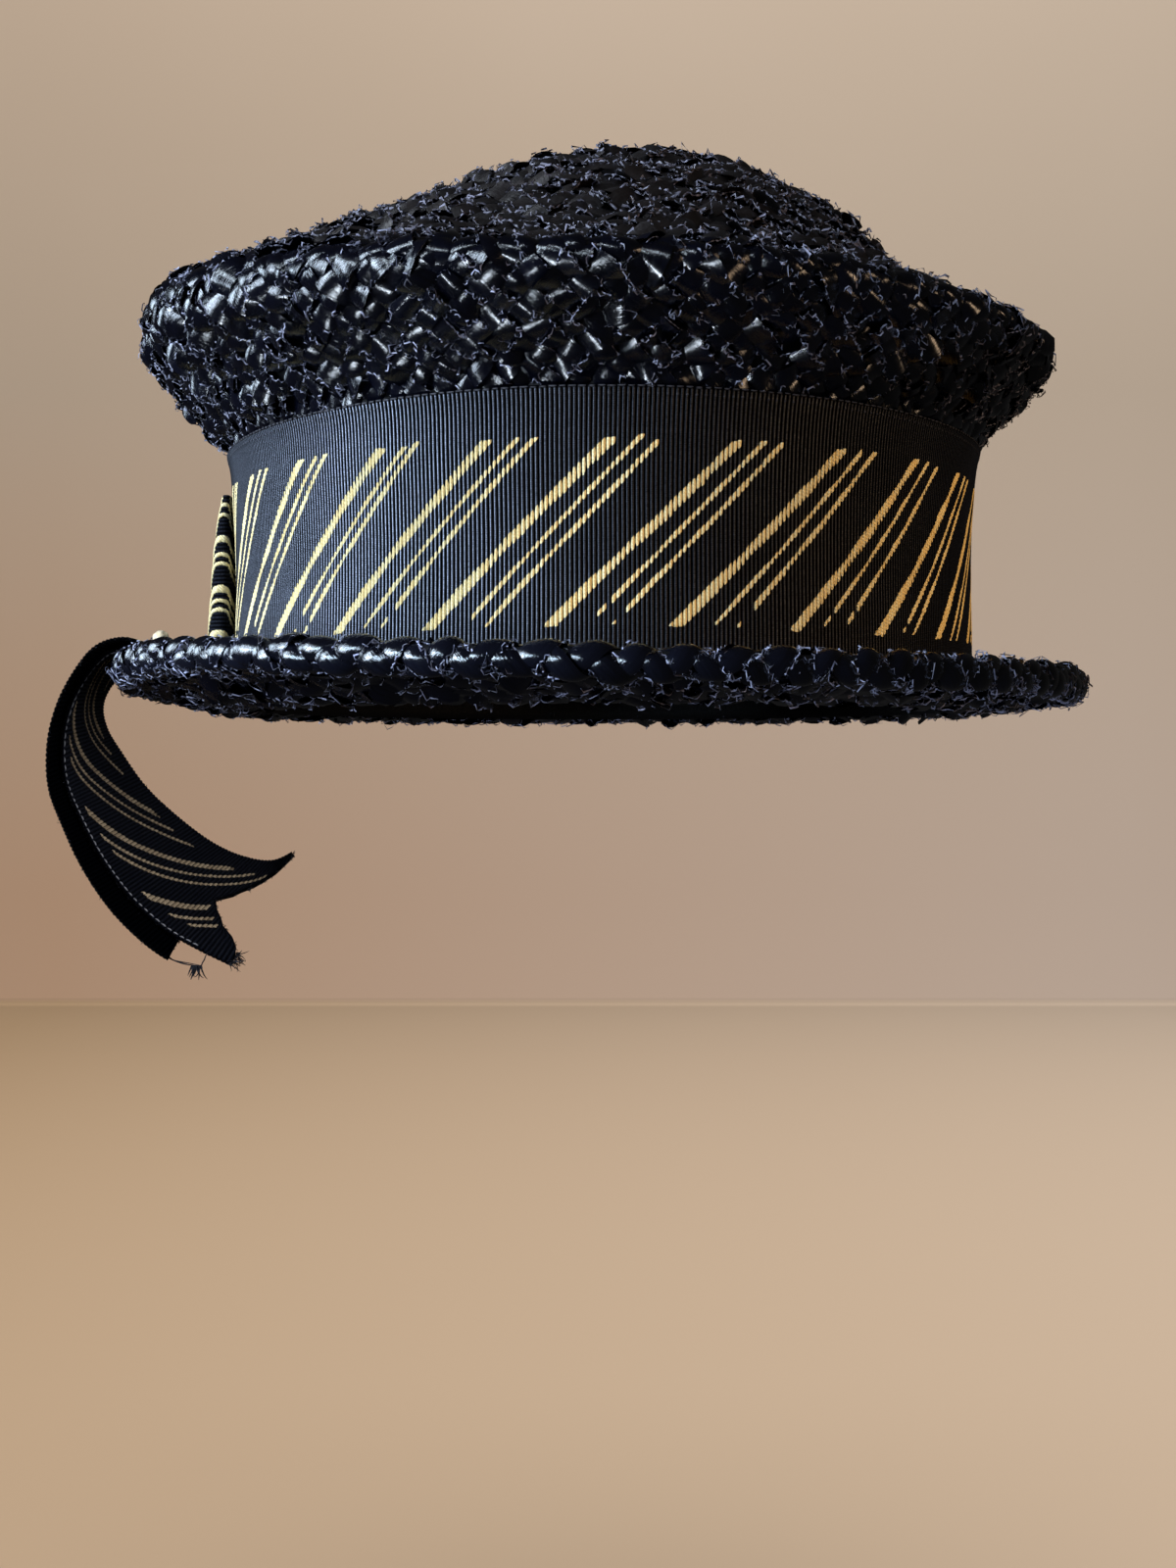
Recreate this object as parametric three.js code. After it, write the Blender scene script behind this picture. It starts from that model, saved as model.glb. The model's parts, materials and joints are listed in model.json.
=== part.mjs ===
// Small straw breton: a hollow sewn-straw crown that swells out over a grosgrain
// band, a short brim turned slightly up with a thick plaited edge, and at the left
// side a folded ribbon loop whose two loose tails run over the brim and hang down.
// Millimetres, +Z up, front of the hat towards -Y, the wearer's head on the Z axis.
// The origin is the middle of the head opening, level with the crown's lower edge.
import * as THREE from 'three';

// ---- driving dimensions ----------------------------------------------------
const STRAW_WALL = 3.0;        // one layer of sewn straw plait
const GAP = 0.35;              // air between pieces that lie on each other
const RIBBON_THICK = 1.0;      // folded-edge grosgrain
const RIBBON_WIDTH = 57;       // 2 1/4 inch ribbon
const BAND_FOOT = 3.8;         // lower edge of the band, just above the brim's root
const AROUND = 64;             // steps round the head
const BRIM_ROOT_THICK = 3.0;
const BEAD_RADIUS = 1.9;

// A table is written as a header line and one line for each section.
function table(header, ...lines) {
  const names = header.trim().split(/\s+/);
  return lines.map((line) => Object.fromEntries(line.map((v, i) => [names[i], v])));
}

// Crown, from its foot to the middle of the top. The four reaches are measured from
// the Z axis, the four heights belong to the same four sides.
const CROWN = table(
  'left right front back zLeft zRight zFront zBack',
  [83.2, 83.8, 101.0, 101.0, 0, 0, 0, 0],              // foot
  [83.2, 83.8, 101.0, 101.0, 3.0, 3.0, 3.0, 3.0],      // brim joins here
  [82.9, 83.6, 100.8, 100.8, 14, 14, 14, 14],
  [82.7, 83.3, 100.6, 100.6, 30, 30, 30, 30],          // slight waist
  [83.4, 83.8, 101.2, 101.0, 46, 46, 46, 46],
  [85.0, 85.7, 102.9, 102.5, 57.5, 58.5, 60, 58.5],    // upper edge of the band
  [91.5, 91.4, 107.5, 106.5, 65.0, 65.0, 65.0, 65],    // crown swells outwards
  [98.0, 97.0, 115.0, 113.5, 72.0, 71.0, 70.5, 71],
  [102.9, 101.0, 121.5, 119.5, 78.4, 75.2, 75.5, 76],
  [104.3, 101.9, 124.5, 122.0, 84.9, 78.4, 80.0, 81],  // widest
  [100.0, 97.0, 123.0, 120.5, 91.4, 80.3, 83.4, 86],   // rounded upper rim
  [91.0, 91.0, 116.0, 114.0, 95.5, 82.4, 85.4, 88.4],
  [79.0, 82.0, 104.0, 104.0, 100.7, 85.8, 91.0, 93.2],
  [65.0, 72.5, 88.0, 90.0, 106.7, 92.6, 99.3, 99.5],   // foot of the dome
  [50.0, 63.0, 70.0, 74.0, 112.4, 104.6, 107.2, 106.9],
  [34.0, 51.0, 52.0, 58.0, 119.8, 114.4, 114.8, 114.4],
  [16.0, 34.0, 32.0, 40.0, 126.4, 123.0, 122.8, 123.0],
  [-1.0, 13.0, 8.0, 14.0, 128.3, 127.8, 127.8, 127.9], // flat middle of the dome
);

// Brim edge: reach of the middle of the plaited edge on the four sides, and its
// height by angle, counted in equal steps from +X over the back; it lifts at the
// front left.
const BRIM_REACH = table('left right front back zLeft zRight zFront zBack', [111.0, 109.4, 127.0, 126.5, 0, 0, 0, 0])[0];
const BRIM_RISE = table('z', [5.3], [4.6], [3.9], [3.4], [3.0], [4.4], [8.4], [10.8], [9.2], [6.8], [6.0], [5.6]);

// Brim section: across runs from 0 at the crown to 1 at the edge, off is the distance
// above or below the brim's middle surface.
const BRIM_SECTION = table(
  'across off',
  [0.00, 1.5], [0.25, 1.5], [0.50, 1.5], [0.72, 1.7], [0.80, 2.9], [0.88, 3.1],
  [0.95, 2.5], [0.99, 1.2],
  [0.99, -1.2], [0.95, -2.5], [0.88, -3.1], [0.80, -2.9], [0.72, -1.7],
  [0.50, -1.5], [0.25, -1.5], [0.00, -1.5],
);

// Hanging ribbon, from the band across the brim, over its edge and down. The near
// selvedge lies at Y = TAIL_NEAR_Y, the far one at Y = TAIL_FAR_Y.
const TAIL_NEAR_Y = -27;
const TAIL_FAR_Y = 28;
const TAIL = table(
  'nearX nearZ farX farZ',
  [-88.0, 5.9, -88.0, 5.9],        // tucked under the loop
  [-96.0, 8.9, -96.0, 8.9],        // lying on the brim
  [-101.4, 12.4, -101.4, 12.2],
  [-105.3, 13.7, -106.0, 13.5],    // over the plaited edge
  [-110.5, 12.2, -113.0, 12.2],
  [-114.8, 7.6, -119.2, 8.4],
  [-118.4, 0.9, -122.4, 2.6],
  [-120.2, -7.0, -121.6, -3.4],    // widest swing
  [-119.7, -16.0, -118.0, -9.6],
  [-116.5, -24.2, -112.1, -17.9],
  [-111.8, -33.2, -104.8, -24.9],
  [-105.4, -42.0, -95.9, -31.6],
  [-97.8, -49.0, -88.0, -35.2],
  [-90.4, -53.4, -80.6, -36.2],
  [-82.8, -57.1, -74.5, -33.4],    // curled-in end
);
const NOTCH_DEPTH = 0.115;        // part of the tail's length cut out as a V
const NOTCH_PLACE = 0.45;         // across the ribbon, from the near selvedge
const UNDER_SHIFT = 0.145;        // second layer stands out on the near side
const UNDER_OFFSET = RIBBON_THICK + GAP + 0.1;
const UNDER_LENGTH = 0.90;        // and is cut off shorter
const TAIL_STEPS = 32;
const TAIL_ACROSS = 4;

// Ribbon loop at the left side of the band: how far it stands out at each height.
const LOOP_NEAR_Y = -9;
const LOOP_FAR_Y = 42;
const LOOP_BOXINESS = 0.55;
const LOOP = table(
  'z out',
  [11.0, 8.2], [17, 8.0], [24, 7.7], [31, 7.2], [38, 6.3], [44, 4.8], [49.5, 2.9],
);
const LOOP_STEPS = 32;

const BEAD = new THREE.Vector3(-98.7, -24, 15.65);

// ---- helpers ---------------------------------------------------------------
// Smooth value between the rows of a table: row may be fractional.
function between(rows, row) {
  const i = Math.min(Math.floor(row), rows.length - 2);
  const t = row - i;
  const at = (k) => rows[Math.max(0, Math.min(rows.length - 1, k))];
  const out = {};
  for (const name of Object.keys(rows[0])) {
    const [a, b, c, d] = [at(i - 1)[name], at(i)[name], at(i + 1)[name], at(i + 2)[name]];
    out[name] = b + 0.5 * t * (c - a + t * (2 * a - 5 * b + 4 * c - d + t * (3 * (b - c) + d - a)));
  }
  return out;
}

// Point of an oval ring whose four sides have their own reach and height.
function ringPoint(ring, angle) {
  const c = Math.cos(angle), s = Math.sin(angle);
  const x = (ring.right - ring.left) / 2 + ((ring.right + ring.left) / 2) * c;
  const y = (ring.back - ring.front) / 2 + ((ring.back + ring.front) / 2) * s;
  const z = (c > 0 ? ring.zRight : ring.zLeft) * c * c + (s > 0 ? ring.zBack : ring.zFront) * s * s;
  return new THREE.Vector3(x, y, z);
}

const crownPoint = (row, angle) => ringPoint(between(CROWN, row), angle);

// Outward normal of the crown's outer surface.
function crownNormal(row, angle) {
  const e = 0.02, last = CROWN.length - 1;
  const up = crownPoint(Math.min(row + e, last), angle).sub(crownPoint(Math.max(row - e, 0), angle));
  const round = crownPoint(row, angle + e).sub(crownPoint(row, angle - e));
  return round.cross(up).normalize();
}

const crownOffset = (row, angle, d) => crownPoint(row, angle).addScaledVector(crownNormal(row, angle), d);

// Closed solid from rings of equal count. Each ring is a closed loop; the first and
// last ring either meet each other (wrap) or are closed by a middle point.
function loft(rings, wrap) {
  const count = rings[0].length;
  const points = rings.flat();
  const index = [];
  const quad = (a, b, c, d) => index.push(a, b, c, a, c, d);
  const spans = wrap ? rings.length : rings.length - 1;
  for (let r = 0; r < spans; r++) {
    const next = (r + 1) % rings.length;
    for (let k = 0; k < count; k++) {
      const k2 = (k + 1) % count;
      quad(r * count + k, r * count + k2, next * count + k2, next * count + k);
    }
  }
  if (!wrap) {
    for (const [r, flip] of [[0, true], [rings.length - 1, false]]) {
      const middle = new THREE.Vector3();
      rings[r].forEach((p) => middle.addScaledVector(p, 1 / count));
      points.push(middle);
      const m = points.length - 1;
      for (let k = 0; k < count; k++) {
        const a = r * count + k, b = r * count + (k + 1) % count;
        if (flip) index.push(m, b, a); else index.push(m, a, b);
      }
    }
  }
  const geometry = new THREE.BufferGeometry();
  geometry.setAttribute('position', new THREE.Float32BufferAttribute(points.flatMap((p) => [p.x, p.y, p.z]), 3));
  geometry.setIndex(index);
  return facingOut(geometry);
}

// Turns the faces over if the enclosed volume comes out negative.
function facingOut(geometry) {
  const p = geometry.getAttribute('position'), index = geometry.getIndex().array;
  const a = new THREE.Vector3(), b = new THREE.Vector3(), c = new THREE.Vector3();
  let volume = 0;
  for (let i = 0; i < index.length; i += 3) {
    a.fromBufferAttribute(p, index[i]); b.fromBufferAttribute(p, index[i + 1]); c.fromBufferAttribute(p, index[i + 2]);
    volume += a.dot(b.cross(c)) / 6;
  }
  if (volume < 0) for (let i = 0; i < index.length; i += 3) [index[i + 1], index[i + 2]] = [index[i + 2], index[i + 1]];
  geometry.computeVertexNormals();
  return geometry;
}

const angles = Array.from({ length: AROUND }, (_, k) => (2 * Math.PI * k) / AROUND);
const levels = (from, to, count) => Array.from({ length: count + 1 }, (_, i) => from + ((to - from) * i) / count);

// ---- the pieces --------------------------------------------------------------
// Crown: outer wall up to the dome, then the inner wall back down to the foot.
function crownGeometry() {
  const rows = [0, 1, 2, 3, 4, 4.5, ...levels(5, CROWN.length - 1, 15)];
  const outer = rows.map((row) => angles.map((a) => crownPoint(row, a)));
  const inner = rows.map((row) => angles.map((a) => {
    const p = crownOffset(row, a, -STRAW_WALL);
    if (row === 0) p.z = crownPoint(row, a).z;
    return p;
  })).reverse();
  // the walls meet at the foot, and each ends in its own middle point at the top
  return loft([...inner, ...outer], false);
}

// Brim: one closed section carried round the head.
function brimPoint(angle, section) {
  const root = between(CROWN, 0);
  const foot = ringPoint(root, angle);
  const out = crownNormal(0.3, angle).setZ(0).normalize();
  foot.addScaledVector(out, GAP);
  const edge = ringPoint(BRIM_REACH, angle);
  edge.z = brimRise(angle);
  const middle = BRIM_ROOT_THICK / 2;
  const p = foot.clone().lerp(edge, section.across);
  p.z = middle + (edge.z - middle) * Math.pow(section.across, 1.15) + section.off;
  return p;
}

function brimRise(angle) {
  const count = BRIM_RISE.length;
  const looped = [...BRIM_RISE.slice(-2), ...BRIM_RISE, ...BRIM_RISE.slice(0, 3)];
  return between(looped, 2 + (((angle / (2 * Math.PI)) * count) % count)).z;
}

function brimGeometry() {
  return loft(angles.map((a) => BRIM_SECTION.map((s) => brimPoint(a, s))), true);
}

// Band: the ribbon lies on the crown from just above the brim to where it swells.
function bandGeometry() {
  const footRow = 1 + (BAND_FOOT - 3) / 11;
  const rows = [footRow, 2, 3, 4, 4.5, 5];
  const inside = rows.map((row) => angles.map((a) => crownOffset(row, a, GAP)));
  const outside = rows.map((row) => angles.map((a) => crownOffset(row, a, GAP + RIBBON_THICK))).reverse();
  return loft([...inside, ...outside], true);
}

// Hanging ribbon: middle surface, along from 0 at the band to 1 at the end, across
// from 0 at the near selvedge to 1 at the far one.
function tailMiddle(along, across) {
  const row = between(TAIL, along * (TAIL.length - 1));
  const near = new THREE.Vector3(row.nearX, TAIL_NEAR_Y, row.nearZ);
  const far = new THREE.Vector3(row.farX, TAIL_FAR_Y, row.farZ);
  return near.lerp(far, across);
}

function tailPoint(along, across, off) {
  const e = 0.004;
  const a = Math.max(along - e, 0), b = Math.min(along + e, 1);
  const down = tailMiddle(b, across).sub(tailMiddle(a, across));
  const wide = tailMiddle(along, across + e).sub(tailMiddle(along, across - e));
  return tailMiddle(along, across).addScaledVector(wide.cross(down).normalize(), off);
}

// The end is cut as a V: the tips keep the full length, the notch is shortest.
const notchedEnd = (across) => 1 - NOTCH_DEPTH * (1 - Math.abs(across - NOTCH_PLACE) / (across < NOTCH_PLACE ? NOTCH_PLACE : 1 - NOTCH_PLACE));
const slantedEnd = (across) => UNDER_LENGTH - 0.05 * across;

function tailGeometry(endAt, acrossFrom, acrossTo, offset) {
  const across = levels(0, 1, TAIL_ACROSS).map((v) => [v, acrossFrom + v * (acrossTo - acrossFrom)]);
  const rings = levels(0, 1, TAIL_STEPS).map((t) => [
    ...across.map(([v, w]) => tailPoint(t * endAt(v), w, offset + RIBBON_THICK / 2)),
    ...across.slice().reverse().map(([v, w]) => tailPoint(t * endAt(v), w, offset - RIBBON_THICK / 2)),
  ]);
  return strip(rings, TAIL_ACROSS + 1);
}

// Closed solid from flat sections: each holds width points one way and width back.
function strip(rings, width) {
  const count = width * 2;
  const points = rings.flat();
  const index = [];
  const quad = (a, b, c, d) => index.push(a, b, c, a, c, d);
  for (let r = 0; r + 1 < rings.length; r++) {
    for (let k = 0; k < count; k++) {
      const k2 = (k + 1) % count;
      quad(r * count + k, r * count + k2, (r + 1) * count + k2, (r + 1) * count + k);
    }
  }
  for (const [r, flip] of [[0, true], [rings.length - 1, false]]) {
    for (let k = 0; k + 1 < width; k++) {
      const a = r * count + k, b = a + 1, c = r * count + count - 2 - k, d = c + 1;
      if (flip) quad(d, c, b, a); else quad(a, b, c, d);
    }
  }
  const geometry = new THREE.BufferGeometry();
  geometry.setAttribute('position', new THREE.Float32BufferAttribute(points.flatMap((p) => [p.x, p.y, p.z]), 3));
  geometry.setIndex(index);
  return facingOut(geometry);
}

// Loop: a ring of ribbon standing on edge against the band, flat where it lies on
// the band and standing out more the lower it gets.
function loopGeometry() {
  const halfWide = (LOOP_FAR_Y - LOOP_NEAR_Y) / 2, middleY = (LOOP_FAR_Y + LOOP_NEAR_Y) / 2;
  const bandFace = (y, z) => {
    const ring = between(CROWN, 1 + (z - 3) / 14.25);
    return (ring.left + GAP + RIBBON_THICK) * Math.sqrt(1 - (y / (ring.front + GAP + RIBBON_THICK)) ** 2);
  };
  const centre = (z, out, turn) => {
    const inner = GAP + 0.15 + RIBBON_THICK / 2, outer = out - RIBBON_THICK / 2;
    const c = Math.cos(turn), s = Math.sin(turn);
    const y = middleY + halfWide * c;
    const stand = (inner + outer) / 2 + ((outer - inner) / 2) * Math.sign(s) * Math.pow(Math.abs(s), LOOP_BOXINESS);
    return new THREE.Vector3(-bandFace(y, z) - stand, y, z);
  };
  const turns = Array.from({ length: LOOP_STEPS }, (_, i) => (2 * Math.PI * (i + 0.5)) / LOOP_STEPS);
  const wall = (row, side) => turns.map((turn) => {
    const e = 0.03;
    const p = centre(row.z, row.out, turn);
    const way = centre(row.z, row.out, turn + e).sub(centre(row.z, row.out, turn - e)).normalize();
    return p.add(new THREE.Vector3(way.y, -way.x, 0).multiplyScalar(side * RIBBON_THICK / 2));
  });
  return loft([...LOOP.map((row) => wall(row, 1)), ...LOOP.slice().reverse().map((row) => wall(row, -1))], true);
}

// ---- materials and scene graph -------------------------------------------------
const straw = new THREE.MeshStandardMaterial({ color: 0x0d0f1a, roughness: 0.38, metalness: 0.0 });
const strawEdge = new THREE.MeshStandardMaterial({ color: 0x0f1220, roughness: 0.34, metalness: 0.0 });
const grosgrain = new THREE.MeshStandardMaterial({ color: 0x15161f, roughness: 0.72, metalness: 0.0 });
const pearl = new THREE.MeshStandardMaterial({ color: 0xe9d6b4, roughness: 0.28, metalness: 0.0 });

const hat = new THREE.Group();
const add = (name, geometry, material) => {
  const mesh = new THREE.Mesh(geometry, material);
  mesh.name = name;
  hat.add(mesh);
  return mesh;
};
add('crown', crownGeometry(), straw);
add('brim', brimGeometry(), strawEdge);
add('hat_band', bandGeometry(), grosgrain);
add('ribbon_loop', loopGeometry(), grosgrain);
add('tail_front', tailGeometry(notchedEnd, 0, 1, 0), grosgrain);
add('tail_under', tailGeometry(slantedEnd, -UNDER_SHIFT, 1 - UNDER_SHIFT, UNDER_OFFSET), grosgrain);
add('pin_head', new THREE.SphereGeometry(BEAD_RADIUS, 14, 8), pearl).position.copy(BEAD);

export default hat;
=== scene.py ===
import json
import math
import bpy
import numpy as np
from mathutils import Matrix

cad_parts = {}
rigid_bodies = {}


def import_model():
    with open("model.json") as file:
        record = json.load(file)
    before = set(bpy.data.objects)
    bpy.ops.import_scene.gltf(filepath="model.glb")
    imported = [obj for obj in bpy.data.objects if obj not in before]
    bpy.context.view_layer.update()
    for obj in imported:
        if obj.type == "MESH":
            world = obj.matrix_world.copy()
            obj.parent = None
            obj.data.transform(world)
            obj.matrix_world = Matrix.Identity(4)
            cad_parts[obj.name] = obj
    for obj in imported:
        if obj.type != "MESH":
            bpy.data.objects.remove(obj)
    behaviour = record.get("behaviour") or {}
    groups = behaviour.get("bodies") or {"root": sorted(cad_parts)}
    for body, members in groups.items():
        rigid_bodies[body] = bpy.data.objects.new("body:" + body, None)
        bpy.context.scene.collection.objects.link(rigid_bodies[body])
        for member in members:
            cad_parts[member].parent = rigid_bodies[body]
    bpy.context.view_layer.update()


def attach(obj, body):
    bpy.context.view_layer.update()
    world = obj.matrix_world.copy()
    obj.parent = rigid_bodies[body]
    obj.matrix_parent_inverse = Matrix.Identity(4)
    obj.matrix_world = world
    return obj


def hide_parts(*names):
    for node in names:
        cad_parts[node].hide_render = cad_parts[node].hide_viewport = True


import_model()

# Straw breton hat. Lengths below are millimetres until make() turns them into metres.
MM = 0.001
rng = np.random.default_rng(417)
TAU = 2 * math.pi

# ------------------------------------------------------------------ shape, as in the CAD
# columns: left right front back (reach), zLeft zRight zFront zBack (height)
CROWN = np.array([
    [83.2, 83.8, 101.0, 101.0, 0, 0, 0, 0],
    [83.2, 83.8, 101.0, 101.0, 3.0, 3.0, 3.0, 3.0],
    [82.9, 83.6, 100.8, 100.8, 14, 14, 14, 14],
    [82.7, 83.3, 100.6, 100.6, 30, 30, 30, 30],
    [83.4, 83.8, 101.2, 101.0, 46, 46, 46, 46],
    [85.0, 85.7, 102.9, 102.5, 57.5, 58.5, 60, 58.5],
    [91.5, 91.4, 107.5, 106.5, 65.0, 65.0, 65.0, 65],
    [98.0, 97.0, 115.0, 113.5, 72.0, 71.0, 70.5, 71],
    [102.9, 101.0, 121.5, 119.5, 78.4, 75.2, 75.5, 76],
    [104.3, 101.9, 124.5, 122.0, 84.9, 78.4, 80.0, 81],
    [100.0, 97.0, 123.0, 120.5, 91.4, 80.3, 83.4, 86],
    [91.0, 91.0, 116.0, 114.0, 95.5, 82.4, 85.4, 88.4],
    [79.0, 82.0, 104.0, 104.0, 100.7, 85.8, 91.0, 93.2],
    [65.0, 72.5, 88.0, 90.0, 106.7, 92.6, 99.3, 99.5],
    [50.0, 63.0, 70.0, 74.0, 112.4, 104.6, 107.2, 106.9],
    [34.0, 51.0, 52.0, 58.0, 119.8, 114.4, 114.8, 114.4],
    [16.0, 34.0, 32.0, 40.0, 126.4, 123.0, 122.8, 123.0],
    [-1.0, 13.0, 8.0, 14.0, 128.3, 127.8, 127.8, 127.9],
])
TOP_ROW = len(CROWN) - 1
BRIM_REACH = np.array([111.0, 109.4, 127.0, 126.5])
BRIM_RISE = np.array([5.3, 4.6, 3.9, 3.4, 3.0, 4.4, 8.4, 10.8, 9.2, 6.8, 6.0, 5.6])
GAP, RIBBON = 0.35, 1.0
BAND_FOOT_ROW = 1 + 0.5 / 11


def between(rows, row):
    n = len(rows)
    row = np.clip(np.asarray(row, float), 0, n - 1 - 1e-9)
    i = np.floor(row).astype(int)
    t = row - i
    if rows.ndim > 1:
        t = t[..., None]
    at = lambda k: rows[np.clip(k, 0, n - 1)]
    a, b, c, d = at(i - 1), at(i), at(i + 1), at(i + 2)
    return b + 0.5 * t * (c - a + t * (2 * a - 5 * b + 4 * c - d + t * (3 * (b - c) + d - a)))


def oval(v, th):
    c, s = np.cos(th), np.sin(th)
    x = (v[..., 1] - v[..., 0]) / 2 + (v[..., 1] + v[..., 0]) / 2 * c
    y = (v[..., 3] - v[..., 2]) / 2 + (v[..., 3] + v[..., 2]) / 2 * s
    z = np.where(c > 0, v[..., 5], v[..., 4]) * c * c + np.where(s > 0, v[..., 7], v[..., 6]) * s * s
    return np.stack([x, y, z], -1)


def unit(v):
    return v / np.maximum(np.linalg.norm(v, axis=-1, keepdims=True), 1e-12)


def crown(row, th):
    row, th = np.broadcast_arrays(np.asarray(row, float), np.asarray(th, float))
    return oval(between(CROWN, row), th)


def brim_rise(th):
    n = len(BRIM_RISE)
    loop = np.concatenate([BRIM_RISE[-2:], BRIM_RISE, BRIM_RISE[:3]])
    return between(loop, 2 + (np.asarray(th) / TAU * n) % n)


def foot_out(th):
    up = crown(0.32, th) - crown(0.28, th)
    rd = crown(0.3, th + 0.02) - crown(0.3, th - 0.02)
    n = np.cross(rd, up)
    n[..., 2] = 0
    return unit(n)


def brim(across, th, off=0.0):
    across, th = np.broadcast_arrays(np.asarray(across, float), np.asarray(th, float))
    foot = crown(0, th) + foot_out(th) * GAP
    c, s = np.cos(th), np.sin(th)
    l, r, f, b = BRIM_REACH
    edge = np.stack([(r - l) / 2 + (r + l) / 2 * c, (b - f) / 2 + (b + f) / 2 * s], -1)
    xy = foot[..., :2] + (edge - foot[..., :2]) * across[..., None]
    z = 1.5 + (brim_rise(th) - 1.5) * np.power(np.maximum(across, 0), 1.15) + off
    return np.concatenate([xy, z[..., None]], -1)


def sunk(rows, depth):
    """The crown's table moved inwards, square to its wall on each of the four sides."""
    out = rows.copy()
    for i in range(4):
        dr, dz = np.gradient(rows[:, i]), np.gradient(rows[:, 4 + i])
        size = np.maximum(np.hypot(dr, dz), 1e-9)
        out[:, i] -= depth * dz / size
        out[:, 4 + i] += depth * dr / size
    return out


STRAW_BED = sunk(CROWN, np.interp(np.arange(len(CROWN)), [0, 5, 6.5, 10, 12, 17], [0.0, 0.35, 0.8, 0.9, 1.6, 1.6]))


def straw_bed(row, th):
    row, th = np.broadcast_arrays(np.asarray(row, float), np.asarray(th, float))
    return oval(between(STRAW_BED, row), th)


def patch(surface, p, q, e=(0.02, 0.02)):
    """Place, steps per unit of p and q, and outward normal of a surface(p, q)."""
    P = surface(p, q)
    dp = (surface(p + e[0], q) - surface(p - e[0], q)) / (2 * e[0])
    dq = (surface(p, q + e[1]) - surface(p, q - e[1])) / (2 * e[1])
    return P, dp, dq, unit(np.cross(dq, dp))


# ------------------------------------------------------------------ meshes
def make(name, verts, quads, material, tris=None, uv=None, attrs=None, smooth=True, materials=None, face_mat=None):
    me = bpy.data.meshes.new(name)
    verts = np.asarray(verts, float).reshape(-1, 3)
    quads = np.asarray(quads, np.int32).reshape(-1, 4)
    tris = np.zeros((0, 3), np.int32) if tris is None else np.asarray(tris, np.int32).reshape(-1, 3)
    loops = np.concatenate([quads.ravel(), tris.ravel()])
    starts = np.concatenate([np.arange(len(quads)) * 4, len(quads) * 4 + np.arange(len(tris)) * 3])
    me.vertices.add(len(verts))
    me.vertices.foreach_set("co", (verts * MM).astype(np.float32).ravel())
    me.loops.add(len(loops))
    me.loops.foreach_set("vertex_index", loops)
    me.polygons.add(len(starts))
    me.polygons.foreach_set("loop_start", starts.astype(np.int32))
    me.update(calc_edges=True)
    if uv is not None:
        layer = me.uv_layers.new(name="UVMap")
        layer.data.foreach_set("uv", np.asarray(uv, np.float32)[loops].ravel())
    for key, values in (attrs or {}).items():
        at = me.attributes.new(key, "FLOAT", "POINT")
        at.data.foreach_set("value", np.asarray(values, np.float32).ravel())
    me.polygons.foreach_set("use_smooth", np.full(len(starts), bool(smooth)))
    for m in (materials or [material]):
        me.materials.append(m)
    if face_mat is not None:
        me.polygons.foreach_set("material_index", np.asarray(face_mat, np.int32))
    me.update()
    ob = bpy.data.objects.new(name, me)
    bpy.context.scene.collection.objects.link(ob)
    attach(ob, "root")
    return ob


def grid_quads(nu, nv, close_u=False, close_v=False):
    """Quads over a grid stored u-major: index = u * nv + v."""
    u = np.arange(nu if close_u else nu - 1)
    v = np.arange(nv if close_v else nv - 1)
    U, V = np.meshgrid(u, v, indexing="ij")
    U2, V2 = (U + 1) % nu, (V + 1) % nv
    return np.stack([U * nv + V, U2 * nv + V, U2 * nv + V2, U * nv + V2], -1).reshape(-1, 4)


# ------------------------------------------------------------------ materials
def material(name):
    m = bpy.data.materials.new(name)
    m.use_nodes = True
    nt = m.node_tree
    bsdf = nt.nodes["Principled BSDF"]
    return m, nt, bsdf


def node(nt, kind, inputs=None, **props):
    n = nt.nodes.new(kind)
    for k, v in props.items():
        setattr(n, k, v)
    for k, v in (inputs or {}).items():
        if isinstance(v, bpy.types.NodeSocket):
            nt.links.new(v, n.inputs[k])
        else:
            n.inputs[k].default_value = v
    return n


def mapped(nt, coord, scale):
    return node(nt, "ShaderNodeMapping", {"Vector": coord, "Scale": scale}).outputs["Vector"]


def uvs(nt):
    return node(nt, "ShaderNodeUVMap", uv_map="UVMap").outputs["UV"]


def ramp(nt, fac, stops):
    r = node(nt, "ShaderNodeValToRGB", {"Fac": fac})
    el = r.color_ramp.elements
    while len(el) < len(stops):
        el.new(0.5)
    for e, (p, c) in zip(el, stops):
        e.position = p
        e.color = (*c, 1)
    return r.outputs["Color"]


def mix(nt, fac, a, b, blend="MIX"):
    n = node(nt, "ShaderNodeMix", data_type="RGBA", blend_type=blend)
    for i, v in ((0, fac), (6, a), (7, b)):
        if isinstance(v, bpy.types.NodeSocket):
            nt.links.new(v, n.inputs[i])
        else:
            n.inputs[i].default_value = (*v, 1) if isinstance(v, tuple) and len(v) == 3 else v
    return n.outputs[2]


def attr(nt, name):
    return node(nt, "ShaderNodeAttribute", attribute_name=name).outputs["Fac"]


def remap(nt, value, a, b, c, d):
    return node(nt, "ShaderNodeMapRange", {"Value": value, "From Min": a, "From Max": b, "To Min": c, "To Max": d}).outputs["Result"]


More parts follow.
